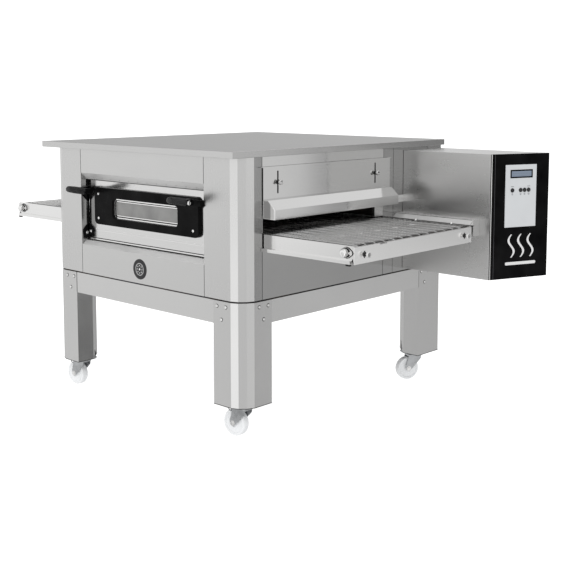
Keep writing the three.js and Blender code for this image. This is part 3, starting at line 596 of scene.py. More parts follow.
LEG_SCREW_ROWS = ((85, 494), (131, 494), (108, 446))    # from the corner, height

SCREW_RADIUS = 5.8
# Painted shade: a dark ring under each leg screw.
SCREW_SHADE_RING = disc(7.4, -0.3, 0.5)
mesh = bmesh.new()
shade_rings = bmesh.new()
for x, y, inward_x, inward_y in CORNERS.values():
    for along, z in LEG_SCREW_ROWS:
        for place, axis in (((x + inward_x * along, y, z), (0, -inward_y, 0)),
                            ((x, y + inward_y * along, z), (-inward_x, 0, 0))):
            add_screw(mesh, place, axis, SCREW_RADIUS, 3.4)
            add_lathe(shade_rings, SCREW_SHADE_RING, place, axis, 24)
finish_piece("leg_screws", mesh, "casing", BRIGHT)
finish_piece("leg_screw_shade_rings", shade_rings, "casing", STEEL_PAINTED_SHADE)

# Painted shade: a dark band round the foot of each leg.
FOOT_SHADE = 2.6


def foot_outline(place, grow):
    """Outline of a leg's foot from its CAD mesh, moved outwards by grow."""
    points = [Vector(((v.co.x - EXIT_X) / MM, (v.co.y - FRONT_Y) / MM))
              for v in NODES[f"leg_{place}"].data.vertices if v.co.z < (LEG_BOTTOM + 0.5) * MM]
    hull = [points[i] for i in convex_hull_2d(points)]
    centre = sum(hull, Vector((0, 0))) / len(hull)
    return [tuple(p + (p - centre).normalized() * grow) for p in hull]


mesh = bmesh.new()
for place in PLACES:
    add_ring(mesh, foot_outline(place, 0.5), foot_outline(place, -0.8), LEG_BOTTOM + 0.1,
             LEG_BOTTOM + FOOT_SHADE)
finish_piece("leg_foot_shades", mesh, "casing", STEEL_PAINTED_SHADE, smooth=False)

# Adjusting slots at the foot of each leg's inner chamfer: a dark sheet of painted shade fills each
# opening, with a folded lip.
NOTCH_HEIGHT = 34
NOTCH_WIDTH = 40
LEG_CHAMFER = 72
mesh = bmesh.new()
lips = bmesh.new()
for x, y, inward_x, inward_y in CORNERS.values():
    start = Vector((x + inward_x * LEG, y + inward_y * (LEG - LEG_CHAMFER), LEG_BOTTOM))
    end = Vector((x + inward_x * (LEG - LEG_CHAMFER), y + inward_y * LEG, LEG_BOTTOM))
    along = (end - start).normalized()
    out = Vector((inward_x, inward_y, 0)).normalized()
    middle = (start + end) / 2
    place = Matrix((
        (along.x, 0, out.x, middle.x), (along.y, 0, out.y, middle.y),
        (0, 1, 0, LEG_BOTTOM), (0, 0, 0, 1)))
    half = NOTCH_WIDTH / 2
    add_prism(mesh, [(-half, 0.5), (half, 0.5), (half, 4), (-half + 3, NOTCH_HEIGHT)],
              -0.5, 0.35, place)
    add_prism(lips, [(half, 4), (half, 8), (-half + 1, NOTCH_HEIGHT + 5),
                     (-half + 3, NOTCH_HEIGHT)], -0.5, 1.2, place)
finish_piece("leg_foot_opening_shades", mesh, "casing", SEAM_DARK_AND_SHADE)
finish_piece("leg_foot_lips", lips, "casing", BRIGHT, 0.3)


# ------------------------------------------------------------------ casters

def swivel_foot(place):
    """Point on the floor under a caster's swivel axis."""
    x, y, inward_x, inward_y = CORNERS[place]
    return Vector((x + inward_x * CASTER_INSET, y + inward_y * CASTER_INSET, 0))


WHEEL_PROFILE = [(5.6, -16), (11, -16), (12, -14.5), (17, -14.5), (18.5, -12.5), (38, -12.5),
                 (40.5, -15), (44, -15.6), (47.5, -14.5), (49.4, -11.5), (50, -7.5), (50, -0.9),
                 (49.2, -0.5), (49.2, 0.5), (50, 0.9), (50, 7.5), (49.4, 11.5), (47.5, 14.5),
                 (44, 15.6), (40.5, 15), (38, 12.5), (18.5, 12.5), (17, 14.5), (12, 14.5),
                 (11, 16), (5.6, 16)]
WHEEL_SEGMENTS = 64
AXLE_Z = 50
PEDAL = [(-34, 110), (-61.5, 113.4), (-61.5, 116.4), (-58, 118.3), (-34, 113.2)]


def add_wheel(mesh):
    """Moulded wheel about Y with a hub boss, a plain recessed web and a mould line."""
    rings = [[mesh.verts.new((u, along, v)) for u, v in circle(0, 0, radius, WHEEL_SEGMENTS)]
             for radius, along in WHEEL_PROFILE]
    stitch(mesh, rings + rings[:1])


for place in PLACES:
    # Turned so that local -X is the trailing side.
    turned = (Matrix.Translation(swivel_foot(place))
              @ Matrix.Rotation(math.radians(CASTER_HEADINGS[place]), 4, "Z"))
    mesh = bmesh.new()
    add_wheel(mesh)
    transform(mesh.verts, turned @ Matrix.Translation((-CASTER_TRAIL, 0, AXLE_Z)))
    wheel = finish_piece(f"wheel_{place}", mesh, f"caster_wheel_{place}", NYLON)
    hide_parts(f"caster_wheel_{place}")

    mesh = bmesh.new()
    for side in (-1, 1):
        cheek = side * 21.5
        add_lathe(mesh, disc(11, 0, 1.2), (-CASTER_TRAIL, cheek, AXLE_Z), (0, side, 0), 24)
        add_hex(mesh, (-CASTER_TRAIL, cheek + side * 1.2, AXLE_Z), (0, side, 0), 8.2, 5)
    add_lathe(mesh, disc(9, 0, 4), (0, 0, 101), (0, 0, 1), 6)
    transform(mesh.verts, turned)
    finish_piece(f"fork_fittings_{place}", mesh, f"caster_fork_{place}", BRIGHT,
                 0.3)

    if place in BRAKED:
        mesh = bmesh.new()
        add_prism(mesh, PEDAL, -19.5, 19.5, upright_plane(0, 0, 0, -1))
        for step in range(4):
            x = -56 + step * 5
            add_box(mesh, (x, -17, 114.2 - step * 0.1), (x + 1.8, 17, 118.6 - step * 0.9))
        for side in (-1, 1):
            add_tube(mesh, [(-58, side * 17, 105), (-50, side * 20, 98), (-34, side * 20.5, 92)],
                     2, 8)
        add_tube(mesh, [(-58, -17, 105), (-58, 17, 105)], 2, 8)
        transform(mesh.verts, turned)
        finish_piece(f"brake_pedal_{place}", mesh, f"caster_fork_{place}", ZINC,
                     0.4)

mesh = bmesh.new()
for place in PLACES:
    centre = swivel_foot(place)
    add_prism(mesh, rounded(-48, 48, -42, 42, 6), 120.0, 125.6, Matrix.Translation(centre))
    for u in (-38, 38):
        for v in (-32, 32):
            add_hex(mesh, centre + Vector((u, v, 120)), (0, 0, -1), 7, 5)
finish_piece("caster_plates", mesh, "casing", ZINC, 0.5)


# ------------------------------------------------------------------ casing

SEAM_HALF = 0.9
PROUD = 0.25


def add_seam_x(mesh, face, out, y, z0, z1, half):
    """Upright seam on an end face at X = face."""
    add_box(mesh, (face - out * 1.5, y - half, z0), (face + out * PROUD, y + half, z1))


def add_seam_y(mesh, face, out, x, z0, z1, half=SEAM_HALF):
    """Upright seam on a front or back face at Y = face."""
    add_box(mesh, (x - half, face - out * 1.5, z0), (x + half, face + out * PROUD, z1))


RECESS_BOTTOM, RECESS_TOP = 635, 933
SIDE_FLAT = 101
TUNNEL_FAR = 807
SIDE_STEP = 872.6
TUNNEL_TOP = 862
TUNNEL_BOTTOM = 693
UPPER_SEAM_BOTTOM = high("exit_baffle").z

# Upright seams of an end face: place along Y, foot, top and half width.
END_SEAMS = (
    (SIDE_FLAT, BODY_BOTTOM, TUNNEL_BOTTOM, SEAM_HALF),
    (SIDE_FLAT, TUNNEL_TOP, COVER_BOTTOM, SEAM_HALF),
    (TUNNEL_FAR, BODY_BOTTOM, TUNNEL_BOTTOM, SEAM_HALF),
    (TUNNEL_FAR, UPPER_SEAM_BOTTOM, COVER_BOTTOM, SEAM_HALF),
    (SIDE_STEP, BODY_BOTTOM, COVER_BOTTOM, 0.7),
    (BODY_BACK - SIDE_FLAT, BODY_BOTTOM, COVER_BOTTOM, SEAM_HALF),
    (BODY_BACK - LEG, RAIL_BOTTOM, STAND_TOP, 0.6),
)

mesh = bmesh.new()
for face, out in ENDS:
    for y, z0, z1, half in END_SEAMS:
        add_seam_x(mesh, face, out, y, z0, z1, half)
for x in (RECESS_LEFT - 0.15, RECESS_RIGHT + 0.15):
    add_seam_y(mesh, 0, -1, x, BODY_BOTTOM, RECESS_BOTTOM)
    add_seam_y(mesh, 0, -1, x, RECESS_TOP, COVER_BOTTOM)
add_seam_y(mesh, 0, -1, BODY_FAR_X + LEG + 0.8, RAIL_BOTTOM, STAND_TOP, 1.6)
add_seam_y(mesh, BODY_BACK, 1, -LEG, RAIL_BOTTOM, STAND_TOP, 0.6)
for x in (BODY_FAR_X + SIDE_FLAT, -SIDE_FLAT):
    add_seam_y(mesh, BODY_BACK, 1, x, BODY_BOTTOM, COVER_BOTTOM)
finish_piece("panel_seams", mesh, "casing", SEAM_DARK_AND_SHADE)

# Round badge under the door: a dark disc with a light ring, eight dots and a middle dot.
BADGE_Z = 575
BADGE_RADIUS = 40
BADGE_PROUD = 1.7
BADGE_PRINT = 0.25
BADGE_DOTS = 8
mesh = bmesh.new()
add_lathe(mesh, [(0, -0.5), (BADGE_RADIUS, -0.5), (BADGE_RADIUS, 0.9),
                 (BADGE_RADIUS - 0.9, BADGE_PROUD), (0, BADGE_PROUD)],
          (BODY_CENTRE, 0, BADGE_Z), (0, -1, 0), 72)
finish_piece("badge", mesh, "casing", BADGE)
mesh = bmesh.new()
badge_face = upright_plane(BODY_CENTRE, -BADGE_PROUD, BADGE_Z, -1)
add_ring(mesh, circle(0, 0, 24, 64), circle(0, 0, 22.2, 64), 0, BADGE_PRINT, badge_face)
for x, y in circle(0, 0, 14.5, BADGE_DOTS):
    add_prism(mesh, circle(x, y, 2.3, 16), 0, BADGE_PRINT, badge_face)
add_prism(mesh, circle(0, 0, 4.6, 24), 0, BADGE_PRINT, badge_face)
finish_piece("badge_print", mesh, "casing", INK)

# Tie bar between the exit face and the control box.
TIE_BAR = ((0.3, 826, 809), (8, 940.3, 838))
mesh = bmesh.new()
add_box(mesh, *TIE_BAR)
finish_piece("tie_bar", mesh, "casing", POLISHED_Y, 0.8)

# Cheeks of the tunnel mouth above the belt.
CHEEK_BOTTOM = 760
mesh = bmesh.new()
for face, out in ENDS:
    for y0, y1 in ((SIDE_FLAT + 0.6, SIDE_FLAT + 3), (752, TUNNEL_FAR - 0.6)):
        add_box(mesh, (face - out * 14, y0, CHEEK_BOTTOM), (face - out * 0.6, y1, TUNNEL_TOP))
finish_piece("tunnel_cheeks", mesh, "casing", STEEL_Z, 0.5)

# Screws of the rear cover and of the rear corner posts.
mesh = bmesh.new()
rear_low, rear_high = low("rear_cover"), high("rear_cover")
rear_face = rear_high.y
for x in (rear_low.x + 18, (rear_low.x + rear_high.x) / 2, rear_high.x - 18):
    for z in (rear_low.z + 16, rear_high.z - 16):
        add_screw(mesh, (x, rear_face - 0.45, z), (0, 1, 0), 4.5, 0.4)
for x in (BODY_FAR_X + SIDE_FLAT + 14, -SIDE_FLAT - 14):
    for z in (BODY_BOTTOM + 30, 780, COVER_BOTTOM - 30):
        add_screw(mesh, (x, BODY_BACK, z), (0, 1, 0), 5, 3)
finish_piece("rear_screws", mesh, "casing", BRIGHT)

# Ventilation slots of the rear cover, each filled with a dark sheet of painted shade.
VENT_BANKS = (-780, -360)
VENT_ROWS, VENT_LOW, VENT_PITCH = 9, 690, 30
mesh = bmesh.new()
for bank in VENT_BANKS:
    for row in range(VENT_ROWS):
        add_prism(mesh, rounded(-85, 85, -4, 4, 3.9), -1, 0,
                  upright_plane(bank, rear_face, VENT_LOW + row * VENT_PITCH, 1))
finish_piece("rear_vent_shades", mesh, "casing", SEAM_DARK_AND_SHADE)


# ------------------------------------------------------------------ door

DOOR_LOW, DOOR_HIGH = low("door_panel"), high("door_panel")
DOOR_FACE = DOOR_LOW.y
FRAME_LOW, FRAME_HIGH = low("door_window_frame"), high("door_window_frame")
FOLD_Z = 696

mesh = bmesh.new()
add_box(mesh, (DOOR_LOW.x + 3, DOOR_FACE - 0.9, FOLD_Z - 1.1),
        (DOOR_HIGH.x - 3, DOOR_FACE + 0.5, FOLD_Z + 1.1))
add_box(mesh, (DOOR_LOW.x, DOOR_FACE - 1.6, DOOR_LOW.z), (DOOR_HIGH.x, DOOR_FACE + 0.5,
                                                       DOOR_LOW.z + 5))
finish_piece("door_folds", mesh, "door", BRIGHT, 0.5)

mesh = bmesh.new()
add_box(mesh, (DOOR_LOW.x + 1, DOOR_FACE - 0.3, DOOR_LOW.z + 5.4),
        (DOOR_HIGH.x - 1, DOOR_FACE + 0.5, DOOR_LOW.z + 8.4))
finish_piece("door_seal", mesh, "door", SEAM_DARK_AND_SHADE)

mesh = bmesh.new()
RIVETS = 15
for i in range(RIVETS):
    x = DOOR_LOW.x + 40 + i * (DOOR_HIGH.x - DOOR_LOW.x - 80) / (RIVETS - 1)
    add_lathe(mesh, [(0, -0.3), (2.4, -0.3), (2.4, 0.4), (1.5, 1.2), (0, 1.5)],
              (x, DOOR_FACE, FOLD_Z + 6), (0, -1, 0), 12)
finish_piece("door_rivets", mesh, "door", BRIGHT)

WINDOW_SCREW_INSET = 28
WINDOW_SCREW_ROWS = (749.8, 849.7)
mesh = bmesh.new()
for x in (FRAME_LOW.x + WINDOW_SCREW_INSET, FRAME_HIGH.x - WINDOW_SCREW_INSET):
    for z in WINDOW_SCREW_ROWS:
        add_screw(mesh, (x, FRAME_LOW.y, z), (0, -1, 0), 5.8, 2.8)
finish_piece("window_screws", mesh, "door", BRIGHT)

# Stepped rings round the glass, just inside the black frame: bright, dark, bright.
GLASS_LAP = 14
GLASS_LOW, GLASS_HIGH = low("door_glass"), high("door_glass")
WINDOW_RADIUS = 16


def window_outline(inset):
    return rounded(GLASS_LOW.x + GLASS_LAP + inset, GLASS_HIGH.x - GLASS_LAP - inset,
                   GLASS_LOW.z + GLASS_LAP + inset, GLASS_HIGH.z - GLASS_LAP - inset,
                   WINDOW_RADIUS - inset)


for name, material, start, end, near in (("window_rim", BRIGHT, 0.1, 6.0, -3.5),
                                         ("window_gasket", SEAM_DARK_AND_SHADE, 6.1, 9.4, 0.2),
                                         ("window_inner_rim", BRIGHT, 9.5, 13.5, -0.6)):
    mesh = bmesh.new()
    add_ring(mesh, window_outline(start), window_outline(end), DOOR_FACE + near,
             GLASS_LOW.y - 0.1, XZ_PLANE)
    finish_piece(name, mesh, "door", material, 0.4)

# Handles: an arm along the recess side with its pivot plate and gusset, tabs folded onto the
# door, and a cross plate that carries the grip's block.
HINGE_Y, HINGE_Z = 22, 683
ARM_GAP, ARM_SHEET, ARM_NEAR = 1.2, 2.5, 27
ARM_BACK = DOOR_FACE - 0.3
TAB_WIDTH = 34
GUSSET_FOOT = 812
PLATE_NEAR, PLATE_LOW, PLATE_HIGH = -12, 850, 873
BLOCK_DEPTH = 21
GRIP_INWARD, GRIP_Z, GRIP_RADIUS, GRIP_TILT = 64, 862, 14, 10.5
GRIP_PROFILE = [(11, 0, 0), (13.4, 3, 0), (14, 9, 0), (14, 12, 1), (13.8, 48, 1), (12.6, 74, 1),
                (11.6, 80, 0), (9.4, 84.6, 0), (5, 87.2, 0)]


def arm_outlines():
    """Arm, pivot plate and gusset in (Y, Z)."""
    yield [(ARM_NEAR, HINGE_Z), (ARM_BACK, HINGE_Z), (ARM_BACK, DOOR_HIGH.z),
           (ARM_NEAR, DOOR_HIGH.z)]
    yield [(HINGE_Y - 13, HINGE_Z - 23), (HINGE_Y + 6, HINGE_Z - 23), (ARM_BACK, HINGE_Z - 12),
           (ARM_BACK, HINGE_Z + 40), (HINGE_Y + 9, HINGE_Z + 38), (HINGE_Y - 16, HINGE_Z + 12)]
    yield [(PLATE_NEAR, PLATE_LOW), (0, PLATE_LOW - 4), (31, GUSSET_FOOT), (ARM_BACK, GUSSET_FOOT),
           (ARM_BACK, PLATE_HIGH), (PLATE_NEAR, PLATE_HIGH)]


def tab_outlines(outer, tip, into):
    """Upper and lower tab on the door, in (X, Z)."""
    yield [(outer, GUSSET_FOOT), (tip, PLATE_HIGH - 5), (tip, PLATE_HIGH), (outer, PLATE_HIGH)]
    yield [(outer, HINGE_Z - 15), (tip - into * 8, HINGE_Z - 7), (tip, HINGE_Z + 17),
           (outer, HINGE_Z + 39)]


BOLT = [(0, -0.2), (6, -0.2), (6, 1.4), (4.6, 2.6), (2.6, 2.9), (2.6, 1.6), (0, 1.6)]
# Painted shade: a dark ring under each handle bolt.
BOLT_SEAT_SHADE = disc(8, -0.3, 0.5)
GRIP_BOLT = [(0, -0.2), (8.6, -0.2), (8.6, 1.6), (7.4, 3.6), (4.6, 4.8), (3.4, 4.9), (3.4, 3.2),
             (0, 3.2)]
bolts = bmesh.new()
seat_shades = bmesh.new()
for side, recess, into in (("left", RECESS_LEFT, 1), ("right", RECESS_RIGHT, -1)):
    outer = recess + into * ARM_GAP
    inner = outer + into * ARM_SHEET
    tip = outer + into * TAB_WIDTH
    middle = recess + into * GRIP_INWARD
    block_near = PLATE_NEAR - BLOCK_DEPTH
    mesh = bmesh.new()
    for outline in arm_outlines():
        add_prism(mesh, outline, *sorted((outer, inner)), YZ_PLANE)
    for outline in tab_outlines(outer, tip, into):
        add_prism(mesh, outline, ARM_BACK - ARM_SHEET, ARM_BACK, XZ_PLANE)
    add_box(mesh, (outer, PLATE_NEAR, PLATE_LOW),
            (middle + into * GRIP_RADIUS, PLATE_NEAR + ARM_SHEET, PLATE_HIGH))
    add_prism(mesh, rounded(middle - GRIP_RADIUS, middle + GRIP_RADIUS, GRIP_Z - 12, GRIP_Z + 12,
                            5), block_near, PLATE_NEAR + 1, XZ_PLANE)
    plates = finish_piece(f"handle_{side}_plates", mesh, "door", ENAMEL, 0.6)
    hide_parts(f"door_handle_{side}")

    mesh = bmesh.new()
    tilt = math.radians(GRIP_TILT)
    add_fluted(mesh, GRIP_PROFILE, (middle, block_near + 3, GRIP_Z),
               (0, -math.cos(tilt), math.sin(tilt)), 14, 0.10)
    finish_piece(f"handle_{side}_grip", mesh, "door", GRIP)

    for place, axis in (((inner, HINGE_Y + 2, HINGE_Z), (into, 0, 0)),
                        ((outer + into * 13, ARM_BACK - ARM_SHEET, HINGE_Z + 6), (0, -1, 0))):
        add_lathe(bolts, BOLT, place, axis, 24)
        add_lathe(seat_shades, BOLT_SEAT_SHADE, place, axis, 24)
    add_lathe(bolts, GRIP_BOLT, (middle - into * GRIP_RADIUS, block_near + 7, GRIP_Z - 1),
              (-into, 0, 0), 32)
finish_piece("handle_bolts", bolts, "door", BRIGHT, 0.3)
finish_piece("handle_bolt_seat_shades", seat_shades, "door", STEEL_PAINTED_SHADE, 0.2)

# Hinge pins in the recess sides, and the row of holes in the jamb as dark discs of painted shade.
mesh = bmesh.new()
for x, into in ((RECESS_LEFT, 1), (RECESS_RIGHT, -1)):
    add_lathe(mesh, disc(9, -0.2, 1.1), (x, HINGE_Y, HINGE_Z), (into, 0, 0), 24)
finish_piece("hinge_pins", mesh, "casing", BRIGHT, 0.3)

JAMB_HOLES = 12
JAMB_INSET = 60                     # first and last hole from the recess sides
JAMB_DEPTH = 20.2                   # holes back from the front face and down from the jamb
mesh = bmesh.new()
for i in range(JAMB_HOLES):
    x = RECESS_LEFT + JAMB_INSET + i * (RECESS_RIGHT - RECESS_LEFT - 2 * JAMB_INSET) / (
        JAMB_HOLES - 1)
    add_lathe(mesh, disc(1.9, -0.4, 0.15), (x, JAMB_DEPTH, RECESS_TOP - JAMB_DEPTH), (0, -1, -1),
              12)
finish_piece("jamb_hole_shades", mesh, "casing", SEAM_DARK_AND_SHADE)


# ------------------------------------------------------------------ baffles and their knobs

KNOB_REACH = 24
KNOB_RADIUS = 9.4
FRAME_ENDS = ((419, 1), (-1566, -1))
# Faces, how far the clamped plates stand off them, and the studs' places along Y and Z.
KNOB_GROUPS = ((ENDS, 5.4, ((177.5, 940), (745, 940))),
               (FRAME_ENDS, 2.8, ((158, 724), (760, 724))))

KNOB_HEIGHT = 8.6
KNOB_PROFILE = [(KNOB_RADIUS * 0.9, 0, 1), (KNOB_RADIUS, 1.0, 1), (KNOB_RADIUS, 7.6, 1),
                (KNOB_RADIUS * 0.9, KNOB_HEIGHT, 1)]

# Each knob clamps a plate; the dark collar under it is painted shadow and reflection of the knob.
mesh = bmesh.new()
shadow_collars = bmesh.new()
for faces, base, studs in KNOB_GROUPS:
    for face, out in faces:
        for y, z in studs:
            add_fluted(mesh, KNOB_PROFILE, (face + out * (KNOB_REACH - KNOB_HEIGHT), y, z),
                       (out, 0, 0), 18, 0.06)
            add_lathe(shadow_collars, [(3.2, 0), (8.6, 0), (8.6, 1.2), (5.2, 1.6), (5.2, 5.5), (3.2, 5.5)],
                      (face + out * base, y, z), (out, 0, 0), 24)
finish_piece("thumb_knobs", mesh, "casing", BRIGHT)
finish_piece("knob_shadow_collars", shadow_collars, "casing", STEEL_PAINTED_SHADE)

# Bright folded edges of both hoods' ends.
HOOD_PROFILE = ((4, 812.6), (63, 812.6), (63, 847.5), (28, 879), (4, 879))
HOOD_EDGE = 4.0
HOOD_NEAR, HOOD_FAR = 102.3, 824


def hood_outline(face, out, inset):
    """Profile of a hood's end in (X, Z), drawn in towards its middle."""
    middle = Vector((26, 845))
    points = []
    for depth, z in HOOD_PROFILE:
        point = Vector((depth, z))
        moved = point + (middle - point).normalized() * inset
        points.append((face + out * moved.x, moved.y))
    return points


for side, (face, out) in zip(("exit", "entrance"), ENDS):
    mesh = bmesh.new()
    for y, outward in ((HOOD_NEAR, -1), (HOOD_FAR, 1)):
        ends = sorted((y + outward * 0.5, y - outward * 0.3))
        add_ring(mesh, hood_outline(face, out, 0), hood_outline(face, out, HOOD_EDGE), *ends,
                 XZ_PLANE)
    finish_piece(f"{side}_hood_edges", mesh, f"{side}_baffle", BRIGHT, 0.2)


# ------------------------------------------------------------------ conveyor

BELT_PITCH = 13.0
WIRE_RADIUS = 1.0
BELT_RADIUS = 22 - WIRE_RADIUS
BELT_NEAR = low("conveyor_belt").y
BELT_FAR = high("conveyor_belt").y
BELT_RUN = SHAFTS[0] - SHAFTS[1]
BELT_LENGTH = 2 * BELT_RUN + 2 * math.pi * BELT_RADIUS
COLUMNS = 13


def belt_point(s, y, lift):
    """Point at arc length s along the belt, starting on the top run at the entrance shaft."""
    arc = math.pi * BELT_RADIUS
    s = s % BELT_LENGTH
    radius = BELT_RADIUS + lift
    if s < BELT_RUN:
        return Vector((SHAFTS[1] + s, y, SHAFT_Z + radius))
    if s < BELT_RUN + arc:
        angle = math.pi / 2 - (s - BELT_RUN) / BELT_RADIUS
        return Vector((SHAFTS[0] + radius * math.cos(angle), y, SHAFT_Z + radius * math.sin(angle)))
    if s < 2 * BELT_RUN + arc:
        return Vector((SHAFTS[0] - (s - BELT_RUN - arc), y, SHAFT_Z - radius))
    angle = -math.pi / 2 - (s - 2 * BELT_RUN - arc) / BELT_RADIUS
    return Vector((SHAFTS[1] + radius * math.cos(angle), y, SHAFT_Z + radius * math.sin(angle)))


# One hook of a wire round the next one: along the belt, across it, and up from it.
HOOK = ((0, -3.4, 0), (5.0, -2.6, 0.4), (BELT_PITCH + 0.2, -1.9, 1.0),
        (BELT_PITCH + 1.6, -0.4, 0), (BELT_PITCH + 0.2, 1.1, -0.9), (5.0, 1.9, -0.4), (0, 2.8, 0))


def add_belt(mesh):
    """Wire belt: along the top run and round the exit end each cross wire hooks round the next one
    in every column; on the rest of the loop the cross wires run straight. Every other wire hooks at
    both edges.
    """
    count = round(BELT_LENGTH / BELT_PITCH)
    pitch = BELT_LENGTH / count
    shown = round((BELT_RUN + math.pi * BELT_RADIUS) / pitch)
    width = BELT_FAR - BELT_NEAR - 2 * WIRE_RADIUS
    for i in range(count):
        s = i * pitch
        points = [(s, BELT_NEAR + WIRE_RADIUS, 0)]
        if i <= shown:
            for column in range(COLUMNS):
                centre = BELT_NEAR + width * (column + 0.5) / COLUMNS
                points += [(s + u, centre + v, w * WIRE_RADIUS) for u, v, w in HOOK]
        points.append((s, BELT_FAR - WIRE_RADIUS, 0))
        add_tube(mesh, [belt_point(*p) for p in points], WIRE_RADIUS * 0.98, 4)
        if i % 2:
            for y, side in ((BELT_NEAR + WIRE_RADIUS, 1), (BELT_FAR - WIRE_RADIUS, -1)):
                hook = [(0, 0, 0), (4, 0, 0.6), (pitch, side * 0.2, 0.6),
                        (pitch + 1.6, side * 2, 0)]
                add_tube(mesh, [belt_point(s + u, y + v, w * WIRE_RADIUS) for u, v, w in hook],
                         WIRE_RADIUS * 0.98, 4)


mesh = bmesh.new()
add_belt(mesh)
belt = finish_piece("wire_belt", mesh, "casing", WIRE)
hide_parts("conveyor_belt")

# Joining links across the belt where its ends meet: a pair of bent wires at each place.
LINK_S = 231 - SHAFTS[1]
LINK_PLACES = (266, 366, 470, 577, 685)
LINK_WIRES = (((-8, -5, 1.5), (0, 0, 1.9), (10, 4, 1.5)),
              ((-8, -1, 1.5), (1, 4, 1.9), (10, 9, 1.5)))
mesh = bmesh.new()
for y in LINK_PLACES:
    for wire in LINK_WIRES:
        add_tube(mesh, [belt_point(LINK_S + u, y + v, w) for u, v, w in wire], 1.25, 8)
finish_piece("belt_joining_links", mesh, "casing", BRIGHT)

# Crumb trays between the support bars, under both ends of the belt.
TRAY_Z = 699
mesh = bmesh.new()
for x0, x1 in ((4, 404), (-1551, BODY_FAR_X - 4)):
    y0, y1 = FRAME_NEAR + 3, FRAME_FAR - 3
    add_box(mesh, (x0, y0, TRAY_Z - 1.2), (x1, y1, TRAY_Z))
    add_box(mesh, (x0, y0, TRAY_Z), (x1, y0 + 1.2, TRAY_Z + 8))
    add_box(mesh, (x0, y1 - 1.2, TRAY_Z), (x1, y1, TRAY_Z + 8))
    for x in (x0, x1 - 1.2):
        add_box(mesh, (x, y0, TRAY_Z), (x + 1.2, y1, TRAY_Z + 8))
finish_piece("crumb_trays", mesh, "casing", HEAT_STAIN_AND_SHADE, 0.3)

# Diamond flange bearings with dark rims of painted shade round them, and the nuts that hold the
# shafts.
SHADE_RIM_GROWTH = 1.09
DIAMOND = [(27, 0), (23, 7), (10, 16), (0, 18.5), (-10, 16), (-23, 7), (-27, 0), (-23, -7),
           (-10, -16), (0, -18.5), (10, -16), (23, -7)]
SHADE_RIM = [(u * SHADE_RIM_GROWTH, v * SHADE_RIM_GROWTH) for u, v in DIAMOND]
mesh = bmesh.new()
shade_rims = bmesh.new()
nuts = bmesh.new()
for x in SHAFTS:
    for y, out in ((FRAME_NEAR, -1), (FRAME_FAR, 1)):
        place = upright_plane(x, y, SHAFT_Z, out)
        add_ring(mesh, DIAMOND, circle(0, 0, 11, 12), 0.2, 4.5, place)
        add_ring(mesh, circle(0, 0, 14.5, 32), circle(0, 0, 10.9, 32), 3.8, 11, place)
        add_ring(shade_rims, SHADE_RIM, circle(0, 0, 11, 12), 0.1, 1.1, place)
        add_ring(shade_rims, circle(0, 0, 16.6, 32), circle(0, 0, 14.6, 32), 4.4, 8, place)
        for u in (-18.5, 18.5):
            add_hex(nuts, (x + u, y + out * 4.5, SHAFT_Z), (0, out, 0), 5.2, 4.2)
finish_piece("flange_bearings", mesh, "casing", BRIGHT, 0.6)
finish_piece("flange_shade_rims", shade_rims, "casing", SEAM_DARK_AND_SHADE)
finish_piece("flange_nuts", nuts, "casing", BRIGHT, 0.3)

for shaft, x in (("drive_shaft", SHAFTS[0]), ("idler_shaft", SHAFTS[1])):
    mesh = bmesh.new()
    start = low(shaft).y
    add_lathe(mesh, [(0, -0.4), (3.4, -0.4), (4, 0.2), (10.5, 0), (12.8, 1.6), (13.4, 3.4),
                     (13.4, 9), (11, 11), (0, 11)], (x, start - 0.3, SHAFT_Z), (0, 1, 0), 40)
    finish_piece(f"{shaft}_nut", mesh, shaft, BRIGHT, 0.4)

# Small brackets at the ends of the support bars.
mesh = bmesh.new()
for x0, x1 in ((392, 409.5), (-1556.5, -1539)):
    for y0, y1 in ((FRAME_NEAR - 12.6, FRAME_NEAR - 3), (FRAME_FAR + 3, FRAME_FAR + 12.6)):
        add_box(mesh, (x0, y0, 689), (x1, y1, 694.8))
finish_piece("support_brackets", mesh, "casing", SEAM_DARK_AND_SHADE, 0.5)

# Painted shade: a dark sheet in the gap beside the drive guard; the guard's gusset and its studs.
GUARD = (low("drive_guard"), high("drive_guard"))
mesh = bmesh.new()
add_box(mesh, (4, FRAME_FAR + 3, 748), (396, GUARD[0].y - 1, 749.5))
finish_piece("guard_gap_shade", mesh, "casing", SEAM_DARK_AND_SHADE, 0.3)
mesh = bmesh.new()
front = GUARD[1].x
add_prism(mesh, [(872, 748), (893, 766), (893, 744)], front - 1.8, front - 0.1, YZ_PLANE)
for x in (130, 300):
    add_lathe(mesh, [(0, 0), (4.5, 0), (4.5, 16), (3, 18), (0, 18)], (x, 852, 738), (0, 0, 1), 16)
finish_piece("guard_fittings", mesh, "casing", BRIGHT, 0.3)


# ------------------------------------------------------------------ control panel

PANEL_NEAR = Vector((422, 940.6, 0))
PANEL_FAR = Vector((528, 1197.5, 0))
PANEL_ALONG = (PANEL_FAR - PANEL_NEAR).normalized()
PANEL_OUT = Vector((PANEL_ALONG.y, -PANEL_ALONG.x, 0))
PANEL_LENGTH = (PANEL_FAR - PANEL_NEAR).length
PANEL_LOW = low("control_panel").z
PANEL_HIGH = high("control_panel").z
ON_PANEL = Matrix((
    (PANEL_ALONG.x, 0, PANEL_OUT.x, PANEL_NEAR.x),
    (PANEL_ALONG.y, 0, PANEL_OUT.y, PANEL_NEAR.y),
    (0, 1, 0, 0), (0, 0, 0, 1)))
KEYPAD_FACE = 2.6
PRINT = 0.2


def panel_box(mesh, u0, u1, v0, v1, base, top):
    add_prism(mesh, [(u0, v0), (u1, v0), (u1, v1), (u0, v1)], base, top, ON_PANEL)


